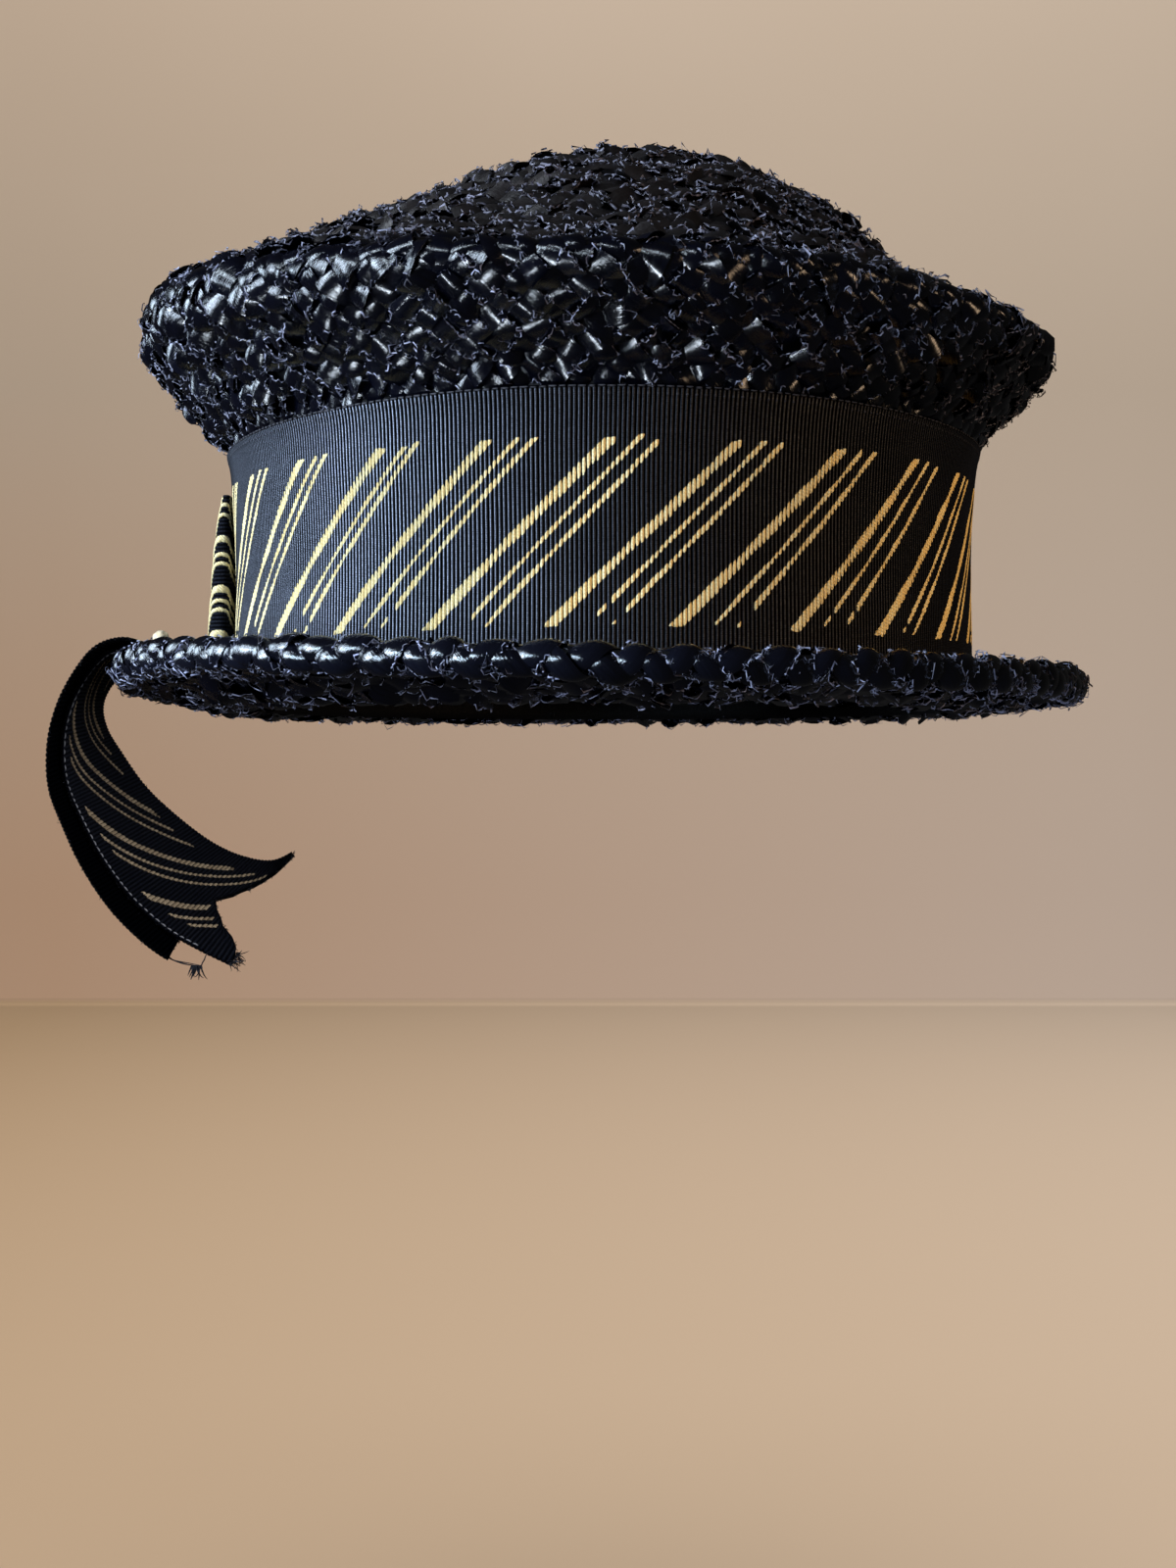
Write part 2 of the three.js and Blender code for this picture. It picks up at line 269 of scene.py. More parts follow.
def straw_material(name, dark, light, rough, coat, stripe=0.9, blotch=0.14, coat_rough=0.11):
    """Glossy dyed straw: fine lengthwise creases, each float a little different."""
    m, nt, b = material(name)
    uv = uvs(nt)
    long_grain = node(nt, "ShaderNodeTexNoise", {"Vector": mapped(nt, uv, (0.5, 9.0, 1.0)), "Scale": 3.0, "Detail": 4.0, "Roughness": 0.6}).outputs["Fac"]
    crinkle = node(nt, "ShaderNodeTexNoise", {"Vector": mapped(nt, uv, (2.2, 3.0, 1.0)), "Scale": 4.0, "Detail": 3.0}).outputs["Fac"]
    tone = mix(nt, attr(nt, "rnd"), dark, light)
    tone = mix(nt, remap(nt, long_grain, 0.35, 0.7, 0.0, 0.55), tone, light)
    nt.links.new(tone, b.inputs["Base Color"])
    nt.links.new(remap(nt, crinkle, 0.3, 0.7, rough[0], rough[1]), b.inputs["Roughness"])
    bump = node(nt, "ShaderNodeBump", {"Height": long_grain, "Strength": stripe, "Distance": 0.00010})
    bump2 = node(nt, "ShaderNodeBump", {"Height": crinkle, "Strength": blotch, "Distance": 0.0002, "Normal": bump.outputs["Normal"]})
    nt.links.new(bump2.outputs["Normal"], b.inputs["Normal"])
    nt.links.new(bump2.outputs["Normal"], b.inputs["Coat Normal"])
    b.inputs["Coat Weight"].default_value = coat
    b.inputs["Coat Roughness"].default_value = coat_rough
    b.inputs["Specular IOR Level"].default_value = 0.6
    return m


def curl_material(name, dark, light, rough=0.42):
    m, nt, b = material(name)
    uv = uvs(nt)
    n = node(nt, "ShaderNodeTexNoise", {"Vector": mapped(nt, uv, (3.0, 8.0, 1.0)), "Scale": 3.0, "Detail": 3.0}).outputs["Fac"]
    tone = mix(nt, attr(nt, "rnd"), dark, light)
    tone = mix(nt, remap(nt, n, 0.4, 0.75, 0.0, 0.7), tone, light)
    nt.links.new(tone, b.inputs["Base Color"])
    nt.links.new(remap(nt, n, 0.3, 0.7, rough - 0.12, rough + 0.15), b.inputs["Roughness"])
    nt.links.new(node(nt, "ShaderNodeBump", {"Height": n, "Strength": 0.4, "Distance": 0.0003}).outputs["Normal"], b.inputs["Normal"])
    b.inputs["Specular IOR Level"].default_value = 0.65
    b.inputs["Sheen Weight"].default_value = 0.25
    b.inputs["Sheen Roughness"].default_value = 0.4
    b.inputs["Sheen Tint"].default_value = (0.9, 0.9, 1.0, 1)
    return m


STRAW = straw_material("straw_float", (0.0005, 0.0006, 0.0018), (0.0022, 0.0028, 0.008), (0.12, 0.24), 0.6, 0.85, 0.12, 0.06)
# A lighter copy of the straw for the brim's plaited edge: the lighter colour is painted sheen on the leaves.
STRAW_EDGE_SHEEN = straw_material("straw_edge_float_painted_sheen", (0.0006, 0.0007, 0.0017), (0.0042, 0.0050, 0.0105), (0.11, 0.22), 0.8, 1.0, 0.16, 0.06)
# A lighter, browner copy of the navy straw for the top of the crown: painted light, for the grazing light across the
# top.
STRAW_TOP_PAINTED_LIGHT = straw_material("straw_float_top_painted_light", (0.0018, 0.0015, 0.0018), (0.0160, 0.0126, 0.0124), (0.30, 0.60), 0.16)
# The curls are thin crimped edges of the same navy straw; their lavender-grey colour is painted sheen for the gloss on
# the thin fibres. The top's copy carries less painted sheen.
CURL_SHEEN = curl_material("straw_curl_painted_sheen", (0.020, 0.021, 0.038), (0.36, 0.38, 0.54))
CURL_TOP_SHEEN = curl_material("straw_curl_top_painted_sheen", (0.024, 0.025, 0.038), (0.20, 0.20, 0.28))
CORE = straw_material("straw_core", (0.0010, 0.0011, 0.0022), (0.003, 0.0032, 0.006), (0.6, 0.8), 0.0)


# ------------------------------------------------------------------ woven straw
def weave(surface, p, q, lean, length, width, seed, lift=0.0, high=0.85, curl=1.0, along=8, across=6, ruffle=18, tilt=1.0, angle=45, scatter=1.0, crinkled=1.0, flat=3.0, dome=0.15, thick=0.15, clump=(0.55, 0.85), curl_up=0.0):
    """Floats of flat straw centred at (p, q) on a surface, leaning one way or the other,
    domed so that their ends dive under their neighbours, and crimped thin curls of straw
    along both long edges. Returns vertices, quads, uv, rnd and, for each quad, 1 on a curl."""
    r = np.random.default_rng(seed)
    k = len(p)
    P, dp, dq, n = patch(surface, p, q)
    sp, sq = np.linalg.norm(dp, axis=-1), np.linalg.norm(dq, axis=-1)
    ang = math.radians(angle) + r.normal(0, 0.12, k) * scatter
    tx, ty = np.cos(ang), lean * np.sin(ang)            # along the float: q way, p way
    bx, by = -lean * np.sin(ang), np.cos(ang)
    L = length * (1 + r.normal(0, 0.06, k))
    W = width * (1 + r.normal(0, 0.09, k))
    cx, cy = r.normal(0, 0.26, k) * scatter, r.normal(0, 0.26, k) * scatter
    pitch, roll = r.normal(0, 0.13, k) * tilt, r.normal(0, 0.32, k) * tilt
    lift = np.broadcast_to(lift, (k,)) + r.normal(0, 0.12, k)

    def place(a, b, h):
        """a along and b across in mm, h above the surface; all (k, n, m)."""
        x = cx[:, None, None] + a * tx[:, None, None] + b * bx[:, None, None]
        y = cy[:, None, None] + a * ty[:, None, None] + b * by[:, None, None]
        dth = x / sq[:, None, None]
        dro = y / sp[:, None, None]
        pp, qq = p[:, None, None] + dro, q[:, None, None] + dth
        S, _, _, N = patch(surface, pp, qq)
        return S + N * h[..., None]

    t = np.linspace(-1, 1, along)[None, :, None]
    s = np.linspace(-1, 1, across)[None, None, :]
    fold_at, fold_by = r.uniform(-0.7, 0.7, (k, 1, 1)), r.normal(-0.12, 0.30 * crinkled, (k, 1, 1))
    crease = fold_by * np.abs(s - fold_at) + r.normal(0, 0.055 * crinkled, (k, 1, across)) - dome * s * s
    ridge_at = lambda tt: high * (1.0 - 1.22 * np.abs(tt) ** flat)
    twist = r.normal(0, 0.10, (k, 1, 1))
    wrinkle = r.normal(0, 0.02 * crinkled, (k, along, across))
    slope = lambda tt, ss: (pitch[:, None, None] + twist * ss) * tt * L[:, None, None] + roll[:, None, None] * ss * W[:, None, None]
    body_h = lift[:, None, None] + ridge_at(t) + crease + wrinkle + slope(t, s)
    taper = 1 - 0.10 * t * t
    body = place(t * L[:, None, None] + 0 * s, s * taper * W[:, None, None], body_h)
    verts = [body.reshape(-1, 3)]
    g = grid_quads(along, across)
    quads = [(np.arange(k)[:, None, None] * along * across + g[None]).reshape(-1, 4)]
    uo = r.uniform(0, 50, (k, 1, 1))
    body_uv = np.stack([(t * L[:, None, None]) / 10 + uo + 0 * s, s * W[:, None, None] / 10 + uo * 1.7 + 0 * t], -1)
    uv = [body_uv.reshape(-1, 2)]
    tone = np.clip(r.beta(1.2, 4.0, k), 0, 1)
    rnd = [np.repeat(tone, along * across)]
    kind = [np.zeros(k * len(g), int)]
    base = k * along * across
    steps = np.linspace(-1, 1, ruffle)[None, :, None]
    for side in (-1, 1):
        here = (r.random((k, 1, 1)) < 0.82) * r.uniform(0.6, 1.25, (k, 1, 1)) * curl
        phase = r.uniform(0, TAU, (k, 1, 1))
        rate = r.uniform(4.6, 7.4, (k, 1, 1)) * math.pi * np.minimum(L[:, None, None] / 3.3, ruffle / 20)
        swell = np.clip(clump[0] + clump[1] * np.sin(steps * r.uniform(1.5, 4.5, (k, 1, 1)) + r.uniform(0, TAU, (k, 1, 1))), 0, 2)
        size = here * swell
        wob = lambda amp: r.normal(0, amp, (k, ruffle, 1))
        phi = phase + steps * rate * 0.45 + wob(0.4)
        rail = np.array([-1.0, 1.0])[None, None, :]
        thin = thick * (0.7 + 0.4 * here) * (1 - 0.5 * steps ** 4)
        bb = side * (W[:, None, None] * (0.95 - 0.12 * steps * steps) + size * (0.10 + 0.38 * np.sin(steps * rate + phase) + wob(0.16))) + rail * thin * np.cos(phi)
        hh = lift[:, None, None] + ridge_at(steps) + fold_by * np.abs(side - fold_at) - dome * 0.9 - 0.02 + slope(steps, side * 1.0) + np.where(here > 0, 0.12 + curl_up, -0.5) - (0.6 + curl_up) * np.clip(1.5 - 3.2 * size, 0, 1) + size * (0.42 * np.sin(steps * rate * 0.6 + phase * 2) + wob(0.15)) + rail * thin * np.sin(phi)
        aa = steps * L[:, None, None] * 0.98 + size * (0.36 * np.cos(steps * rate + phase) + wob(0.12)) + 0 * rail
        rv = place(aa, bb, hh)
        verts.append(rv.reshape(-1, 3))
        g2 = grid_quads(ruffle, 2)
        quads.append((base + np.arange(k)[:, None, None] * ruffle * 2 + g2[None]).reshape(-1, 4))
        base += k * ruffle * 2
        uv.append(np.stack([aa / 10 + uo, bb / 10 + uo + 0 * steps], -1).reshape(-1, 2))
        rnd.append(np.repeat(np.clip(r.beta(1.3, 1.5, k), 0, 1), ruffle * 2))
        kind.append(np.ones(k * len(g2), int))
    return [np.concatenate(v) for v in (verts, quads, uv, rnd, kind)]


def joined(parts):
    verts, quads, uv, rnd, kind, base = [], [], [], [], [], 0
    for v, f, u, r, c in parts:
        verts.append(v); quads.append(f + base); uv.append(u); rnd.append(r); kind.append(c)
        base += len(v)
    return [np.concatenate(x) for x in (verts, quads, uv, rnd, kind)]


def straw_piece(name, parts, mats=None):
    v, f, u, r, c = joined(parts)
    return make(name, v, f, None, uv=u, attrs={"rnd": r}, smooth=True, materials=mats or [STRAW, CURL_SHEEN], face_mat=c)


# distance along the crown's wall, averaged round the hat
row_fine = np.linspace(0, TOP_ROW, 1701)
th_some = np.arange(24) / 24 * TAU
wall = crown(row_fine[:, None], th_some[None, :])
run = np.concatenate([[0], np.cumsum(np.linalg.norm(np.diff(wall, axis=0), axis=-1).mean(1))])
girth_th = np.linspace(0, TAU, 361)


def row_at(distance):
    return np.interp(distance, run, row_fine)


def run_at(row):
    return np.interp(row, row_fine, run)


def girth(row):
    return np.linalg.norm(np.diff(crown(row, girth_th), axis=0), axis=-1).sum()


RIDGE_ROW = 10.75
CELL = 6.6

# side of the crown, from under the ribbon's upper edge to the ridge
start, stop = run_at(5.0) + 0.9, run_at(RIDGE_ROW)
side_rows = int(round((stop - start) / (CELL / 2)))
parts = []
COUNT = 100
for j in range(side_rows + 1):
    row = row_at(start + (stop - start) * j / side_rows)
    q = (np.arange(COUNT) + 0.5 * (j % 2)) * TAU / COUNT
    cell = girth(row) / COUNT
    parts.append(weave(straw_bed, np.full(COUNT, row), q, 1 if j % 2 else -1, cell * 0.50, cell * 0.345, 1000 + j, high=0.95, lift=-0.5 if j == 0 else 0.0, tilt=0.3 if j == 0 else 1.0, curl=0.4 if j == 0 else 1.0, along=7, across=6, ruffle=26))
half = len(parts) // 2
side_low = straw_piece("straw_side_low", parts[:half])
side_high = straw_piece("straw_side_high", parts[half:])

# top of the crown: courses of plait sewn round, each lying a little over the next one out
parts = []
courses = 9
t0, t1 = run_at(RIDGE_ROW) + 1.6, run_at(TOP_ROW - 0.12)
PER = 4
for c in range(courses):
    a = t0 + (t1 - t0) * c / courses
    b = t0 + (t1 - t0) * (c + 1) / courses
    n = max(6, int(round(girth(row_at((a + b) / 2)) / (CELL * 1.02))))
    for j in range(PER):
        row = row_at(a + (b - a) * (j + 0.1) / PER)
        q = (np.arange(n) + 0.5 * ((j + c) % 2)) * TAU / n + c * 0.37
        cell = 0.5 * girth(row) / n + 0.5 * CELL
        parts.append(weave(straw_bed, np.full(n, row), q, 1 if j % 2 else -1, cell * 0.52, cell * 0.35, 2000 + c * 10 + j,
                           lift=0.75 - 1.0 * j / PER, high=0.8, curl=1.10, along=6, across=4, ruffle=15, clump=(0.75, 0.75), thick=0.21))
apex_q = np.arange(5) / 5 * TAU
parts.append(weave(straw_bed, np.full(5, TOP_ROW - 0.22), apex_q, 1, 3.4, 2.1, 2990, lift=0.55, high=0.7, curl=1.0, along=7, across=5, ruffle=13))


def cap_face(p, q):
    """The little flat at the very top, p backwards and q to the right; mm."""
    p, q = np.broadcast_arrays(p, q)
    return np.stack([6.5 + q, 3.0 + p, 126.9 - 0.006 * (p * p + q * q)], -1)


for j, p_ in enumerate(np.arange(-10.5, 11, 3.0)):
    q = np.arange(-6.6, 6.7, 3.3) + 1.6 * (j % 2)
    parts.append(weave(cap_face, np.full(len(q), p_), q, 1 if j % 2 else -1, 3.4, 2.2, 2950 + j, lift=0.35, high=0.8, curl=1.0, along=6, across=4, ruffle=15))
cut = 4 * 3
top_outer = straw_piece("straw_top_outer", parts[:cut], [STRAW_TOP_PAINTED_LIGHT, CURL_TOP_SHEEN])
top_inner = straw_piece("straw_top_inner", parts[cut:], [STRAW_TOP_PAINTED_LIGHT, CURL_TOP_SHEEN])


def ridge_strand(dist, seed, wide=0.85, lift=0.9, wave=0.25, count=900):
    """One long straw that follows the rim, with the crimped edge of the plait beside it."""
    r = np.random.default_rng(seed)
    q = np.arange(count) / count * TAU
    slow = lambda amp, knots: amp * np.interp(q, np.linspace(0, TAU, knots), r.normal(0, 1, knots))
    row = row_at(dist + slow(wave, 160) + 0.2 * np.sin(q * 98))
    P, dp, dq, N = patch(straw_bed, row, q)
    up = unit(dp)
    W = wide * (1 + slow(0.18, 200))
    H = lift + slow(0.16, 170) + 0.22 * np.sin(q * 98 + seed)
    roll = slow(0.35, 150)
    b = np.linspace(-1, 1, 5)
    crown_ = np.array([-0.25, 0.10, 0.16, 0.05, -0.25])
    pts = P[:, None] + up[:, None] * (b[None] * W[:, None])[..., None] + N[:, None] * (H[:, None] + crown_[None] + roll[:, None] * b[None])[..., None]
    uv = np.stack([np.broadcast_to((q * 110)[:, None] / 10, (count, 5)), np.broadcast_to(b[None], (count, 5)) / 10], -1)
    out = [(pts.reshape(-1, 3), grid_quads(count, 5, True), uv.reshape(-1, 2), np.full(count * 5, 0.25), np.zeros(count * 4, int))]
    fine = count * 3
    qf = np.arange(fine) / fine * TAU
    take = lambda x: np.interp(qf, np.append(q, TAU), np.append(x, x[0]))
    size = np.clip(take(slow(0.5, 220) + 0.8), 0, 1.6)
    jag, jag2 = (r.normal(0, 0.5, fine) + np.sin(np.arange(fine) * 1.3)) * size, (r.normal(0, 0.5, fine) + np.cos(np.arange(fine) * 1.1)) * size
    Pf, dpf, _, Nf = patch(straw_bed, np.interp(qf, q, row, period=TAU), qf)
    upf = unit(dpf)
    phi = np.cumsum(r.normal(0.9, 0.5, fine))
    rails = []
    for sgn in (-1, 1):
        off = -take(W) * 1.05 + 0.30 * jag + sgn * 0.16 * np.cos(phi)
        hh = take(H) - 0.1 + 0.30 * jag2 + sgn * 0.16 * np.sin(phi)
        rails.append(Pf + upf * off[:, None] + Nf * hh[:, None])
    pts = np.stack(rails, 1)
    uv = np.stack([np.stack([qf * 11, qf * 0], -1), np.stack([qf * 11, qf * 0 + 0.1], -1)], 1)
    tone = np.repeat(np.clip(np.interp(qf, np.linspace(0, TAU, 400), r.beta(1.3, 1.5, 400)), 0, 1), 2)
    out.append((pts.reshape(-1, 3), grid_quads(fine, 2, True), uv.reshape(-1, 2), tone, np.ones(fine, int)))
    return out


ridge = straw_piece("straw_ridge", ridge_strand(run_at(RIDGE_ROW) + 0.6, 31) + ridge_strand(run_at(RIDGE_ROW) + 2.2, 32, wide=0.7, lift=0.8))

# dark wall behind the floats
rows = np.concatenate([np.linspace(0, 4.5, 6), np.linspace(4.75, TOP_ROW, 34)])
ths = np.arange(112) / 112 * TAU
R, T = np.meshgrid(rows, ths, indexing="ij")
P, dp, dq, N = patch(crown, R, T)
bed = patch(straw_bed, R, T)
outer = np.where((R > 4.9)[..., None], bed[0] - bed[3] * 0.8, P - N * 0.05)
inner = P - N * 3.0
inner[0, :, 2] = P[0, :, 2]
sheet = np.concatenate([inner[::-1], outer])
nr = len(sheet)
verts = sheet.reshape(-1, 3)
quads = grid_quads(nr, len(ths), close_v=True)
apex_in, apex_out = sheet[0].mean(0), sheet[-1].mean(0)
verts = np.concatenate([verts, [apex_in, apex_out]])
k = np.arange(len(ths))
tris = np.concatenate([np.stack([k, (k + 1) % len(ths), np.full_like(k, nr * len(ths))], -1),
                       np.stack([(nr - 1) * len(ths) + (k + 1) % len(ths), (nr - 1) * len(ths) + k, np.full_like(k, nr * len(ths) + 1)], -1)])
uvv = np.concatenate([np.stack([np.broadcast_to(np.concatenate([R[::-1], R]), sheet.shape[:2]) * 0.6, np.broadcast_to(T[:1], sheet.shape[:2]) * 9], -1).reshape(-1, 2), [[0, 0], [0, 0]]])
core = make("crown_core", verts, quads, CORE, tris=tris, uv=uvv, attrs={"rnd": np.full(len(verts), 0.3)})
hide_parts("crown")

# ------------------------------------------------------------------ brim: weave on both faces
def brim_top(p, q):
    return brim(-p, q, 1.5)


def brim_under(p, q):
    return brim(p, q, -1.5)


parts = []
BRIM_COUNT = 104
for face, lean0, seed in ((brim_top, 1, 5000), (brim_under, -1, 5100)):
    for j in range(8):
        a = 0.02 + 0.122 * j
        q = (np.arange(BRIM_COUNT) + 0.5 * (j % 2)) * TAU / BRIM_COUNT
        p = np.full(BRIM_COUNT, a if face is brim_under else -a)
        shown = face is brim_top
        parts.append(weave(face, p, q, lean0 * (1 if j % 2 else -1), 3.35, 2.2, seed + j, lift=0.0, high=0.8, curl=1.0, along=6 if shown else 5, across=4, ruffle=13 if shown or j > 5 else 8))
brim_weave = straw_piece("straw_brim", parts)

# dark core of the brim, a little inside the weave
SECTION = [(0.0, 1.0), (0.25, 1.0), (0.5, 1.0), (0.72, 1.1), (0.8, 1.9), (0.88, 2.3), (0.95, 1.8), (0.985, 0.7),
           (0.985, -0.7), (0.95, -1.8), (0.88, -2.3), (0.8, -1.9), (0.72, -1.1), (0.5, -1.0), (0.25, -1.0), (0.0, -1.0)]
ths = np.arange(128) / 128 * TAU
ring = np.stack([brim(a, ths, o) for a, o in SECTION], 1)
core2 = make("brim_core", ring.reshape(-1, 3), grid_quads(128, len(SECTION), True, True)[:, ::-1], CORE,
             uv=np.stack(np.meshgrid(np.arange(128) * 0.5, np.arange(len(SECTION)) * 0.3, indexing="ij"), -1).reshape(-1, 2),
             attrs={"rnd": np.full(128 * len(SECTION), 0.3)})
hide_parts("brim")

# ------------------------------------------------------------------ plaited edge of the brim
edge_th = np.linspace(0, TAU, 1441)
edge_run = np.concatenate([[0], np.cumsum(np.linalg.norm(np.diff(brim(0.9, edge_th), axis=0), axis=-1))])
EDGE = edge_run[-1]
PLAITS = int(round(EDGE / 26.0))


def edge_frame(s):
    th = np.interp(s % EDGE, edge_run, edge_th)
    P = brim(0.9, th)
    out = unit((brim(0.95, th) - brim(0.85, th)) * np.array([1, 1, 0]))
    return P, out


def on_edge(s, v, h):
    """s along the edge, v up and over it, h above a rounded core; mm."""
    P, out = edge_frame(s)
    R = 2.35
    a = np.clip(v / (R + 0.35), -2.3, 2.3)
    rad = (R + h)[..., None]
    up = np.zeros_like(P)
    up[..., 2] = 1
    return P + out * np.cos(a)[..., None] * rad * 0.95 + up * np.sin(a)[..., None] * rad * 1.12


def edge_face(p, q):
    """p up and over the rounded edge, q along it; mm."""
    p, q = np.broadcast_arrays(p, q)
    return on_edge(q, p, np.zeros(p.shape))


LEAVES = int(round(EDGE / 8.75))
parts = []
for j, (v_, lean) in enumerate(((1.8, 1), (-1.6, -1))):
    q = (np.arange(LEAVES) + 0.5 * j) / LEAVES * EDGE
    parts.append(weave(edge_face, np.full(LEAVES, v_), q, lean, 5.3, 2.2, 7000 + 10 * j, lift=0.15,
                       high=1.25, curl=1.0, along=14, across=9, ruffle=34, tilt=0.45, angle=41, scatter=0.8, crinkled=0.20, dome=0.45, flat=2.4, thick=0.12, clump=(0.7, 0.7), curl_up=0.24))
for v_, seed, n in ((-3.35, 7100, 3), (-4.5, 7101, 3)):
    q = (np.arange(LEAVES * n) + 0.5 * (seed % 2)) / (LEAVES * n) * EDGE
    parts.append(weave(edge_face, np.full(LEAVES * n, v_), q, 1 if seed % 2 else -1, 2.1, 0.95, seed, lift=-0.05, high=0.55, curl=1.0, along=4, across=3, ruffle=12, tilt=1.0, angle=22))
q = (np.arange(LEAVES * 2)) / (LEAVES * 2) * EDGE
parts.append(weave(edge_face, np.full(LEAVES * 2, 4.1), q, -1, 3.0, 1.2, 7102, lift=-0.3, high=0.5, curl=1.0, along=5, across=4, ruffle=16, tilt=0.8, angle=14))
plait = straw_piece("straw_plait", parts, [STRAW_EDGE_SHEEN, CURL_SHEEN])

# ------------------------------------------------------------------ grosgrain ribbon
PITCH = 0.9
WIDE = 57.0


def ribbed(place, ribs, us, vs, closed, crest=0.36, face=0.62, back=0.0, back_rows=7, back_ribs=False, trim=None):
    """Closed sheet of ribbed ribbon. us: place along it of every rib step, vs: rows across.
    Returns verts, quads, uv and how high each point stands on its rib, with 0 on the outermost rows as painted shade."""
    per = 4
    n = ribs * per + (0 if closed else 1)
    u = us(np.arange(n) / per)
    k = np.arange(n) % per
    up = np.choose(k, [0.0, 0.74, 1.0, 0.74])
    U, V = np.meshgrid(u, vs, indexing="ij")
    H = np.broadcast_to(up[:, None], U.shape)
    if trim is not None:
        U = trim(U, V)
    edge = np.minimum(np.arange(len(vs)), np.arange(len(vs))[::-1])
    soft = np.clip(edge / 1.0, 0.0, 1.0)[None]
    outer = place(U, V, face + crest * (H - 0.5) * (0.75 + 0.25 * soft) - 0.20 * (1 - soft))
    if back_ribs:
        vb = vs[::-1]
        Ub, Vb = U[:, ::-1], V[:, ::-1]
        inner = place(Ub, Vb, back - crest * (H - 0.5))
        Hb = H
    else:
        vb = np.interp(np.linspace(1, 0, back_rows), np.linspace(0, 1, len(vs)), vs)
        Ub, Vb = np.meshgrid(u, vb, indexing="ij")
        if trim is not None:
            Ub = trim(Ub, Vb)
        inner = place(Ub, Vb, np.full(Ub.shape, back))
        Hb = np.zeros(Ub.shape)
    P = np.concatenate([outer, inner], 1)
    # The outermost rows get crest 0 and so the groove's dark, dull colour: painted shade along the selvedge.
    crestv = np.concatenate([H * np.clip(edge / 1.0, 0, 1)[None], Hb], 1)
    UV = np.concatenate([np.stack([U, V], -1), np.stack([Ub, Vb + 200], -1)], 1) / 10
    m = P.shape[1]
    quads = grid_quads(n, m, closed, True)
    tris = []
    if not closed:
        nv = len(vs)
        if back_ribs:
            for base, flip in ((0, True), ((n - 1) * m, False)):
                for i in range(nv - 1):
                    q = [base + i, base + i + 1, base + m - 2 - i, base + m - 1 - i]
                    tris.append(q[::-1] if flip else q)
    P = P.reshape(-1, 3)
    if tris:
        quads = np.concatenate([quads, np.array(tris, int)])
    # faces that a slanting cut has closed up are left out
    a, b, c, d = (P[quads[:, i]] for i in range(4))
    size = np.linalg.norm(np.cross(c - a, d - b), axis=-1)
    return P, quads[size > 1e-5], UV.reshape(-1, 2), crestv.reshape(-1)


def stripe_paths(first, count, seed, lean=1.0, jitter=1.0):
    """The ribbon's pattern: one wide slanting stripe and two thin ones in each repeat.
    Rows of: foot along, head along, half width, wobble, start and end across, broken foot."""
    r = np.random.default_rng(seed)
    rows = []
    for k in range(count):
        u0 = first + 24.5 * k + r.normal(0, 0.35) * jitter
        for foot, head, half, broken in ((0.0, 36.2, 1.02, 0), (7.7, 42.2, 0.54, 1), (12.3, 45.5, 0.56, 1)):
            rows.append([u0 + foot * lean + r.normal(0, 0.3) * jitter, u0 + head * lean + r.normal(0, 0.3) * jitter,
                         half * (1 + r.normal(0, 0.05)), r.uniform(-0.1, 0.35), 10.7 + r.normal(0, 0.3), 46.7 + r.normal(0, 0.35), broken, head - foot])
    return rows


def stripe_patches(place, paths, ribs, us, seed, base, crest=0.36, lift=0.10, closed_length=None, sign=1.0, keep=None, rib_count=None):
    """Each stripe as a run of small raised patches of metal thread, one on every rib."""
    r = np.random.default_rng(seed)
    V, Q, UVs, R = [], [], [], []
    nb = 0
    gu = np.array([-0.43, -0.24, 0.0, 0.24, 0.43])
    gup = np.array([0.05, 0.74, 1.0, 0.74, 0.05])
    gv = np.array([-1.0, 0.0, 1.0])
    for foot, head, half, wob, v0, v1, broken in (p_[:7] for p_ in paths):
        lo, hi = sorted((foot, head))
        i0, i1 = int(math.floor(lo / PITCH)) - 3, int(math.ceil(hi / PITCH)) + 3
        idx = np.arange(i0, i1 + 1)
        c = (idx + 0.5) * PITCH
        t = (c - foot) / (head - foot)
        slope = (v1 - v0) / (head - foot)
        tall = half * math.hypot(1, slope) * (1 + r.normal(0, 0.05, len(idx)))
        tall = tall * (1 + 0.05 * np.sin(t * 9 + wob * 5))
        for i, ci, ti, hi_ in zip(idx, c, t, tall):
            if broken and ti < 0.12 and r.random() < 0.38 - 2.2 * ti:
                continue
            if broken and ti < 0.14:
                hi_ *= 0.45 + 3.9 * max(ti, 0.0)
            u = ci + gu * PITCH
            tt = (u - foot) / (head - foot)
            mid = v0 + (v1 - v0) * (tt + 0.012 * math.sin(TAU * ti) * wob)
            vv = mid[:, None] + gv[None] * hi_ + r.normal(0, 0.05)
            vv = np.clip(vv, v0 - r.uniform(0, 0.35), v1 + r.uniform(0, 0.35))
            if (vv[:, -1] - vv[:, 0]).min() < 0.12:
                continue
            uu = np.broadcast_to(u[:, None], vv.shape)
            if keep is not None and not keep(uu, vv):
                continue
            dome = np.array([0.25, 1.0, 0.25])[None]
            h = base + sign * (crest * (gup[:, None] - 0.5) + lift * dome)
            V.append((uu, vv, h))
            Q.append(grid_quads(5, 3) + nb)
            nb += 15
            R.append(np.full(15, r.random()))
    uu = np.array([x[0] for x in V]); vv = np.array([x[1] for x in V]); hh = np.array([np.broadcast_to(x[2], x[0].shape) for x in V])
    P = place(us(uu / PITCH) if us else uu, vv, hh)
    quads = np.concatenate(Q)
    if sign > 0:
        quads = quads[:, ::-1]
    UVs = np.stack([uu, vv], -1).reshape(-1, 2) / 10
    return P.reshape(-1, 3), quads, UVs, np.concatenate(R)


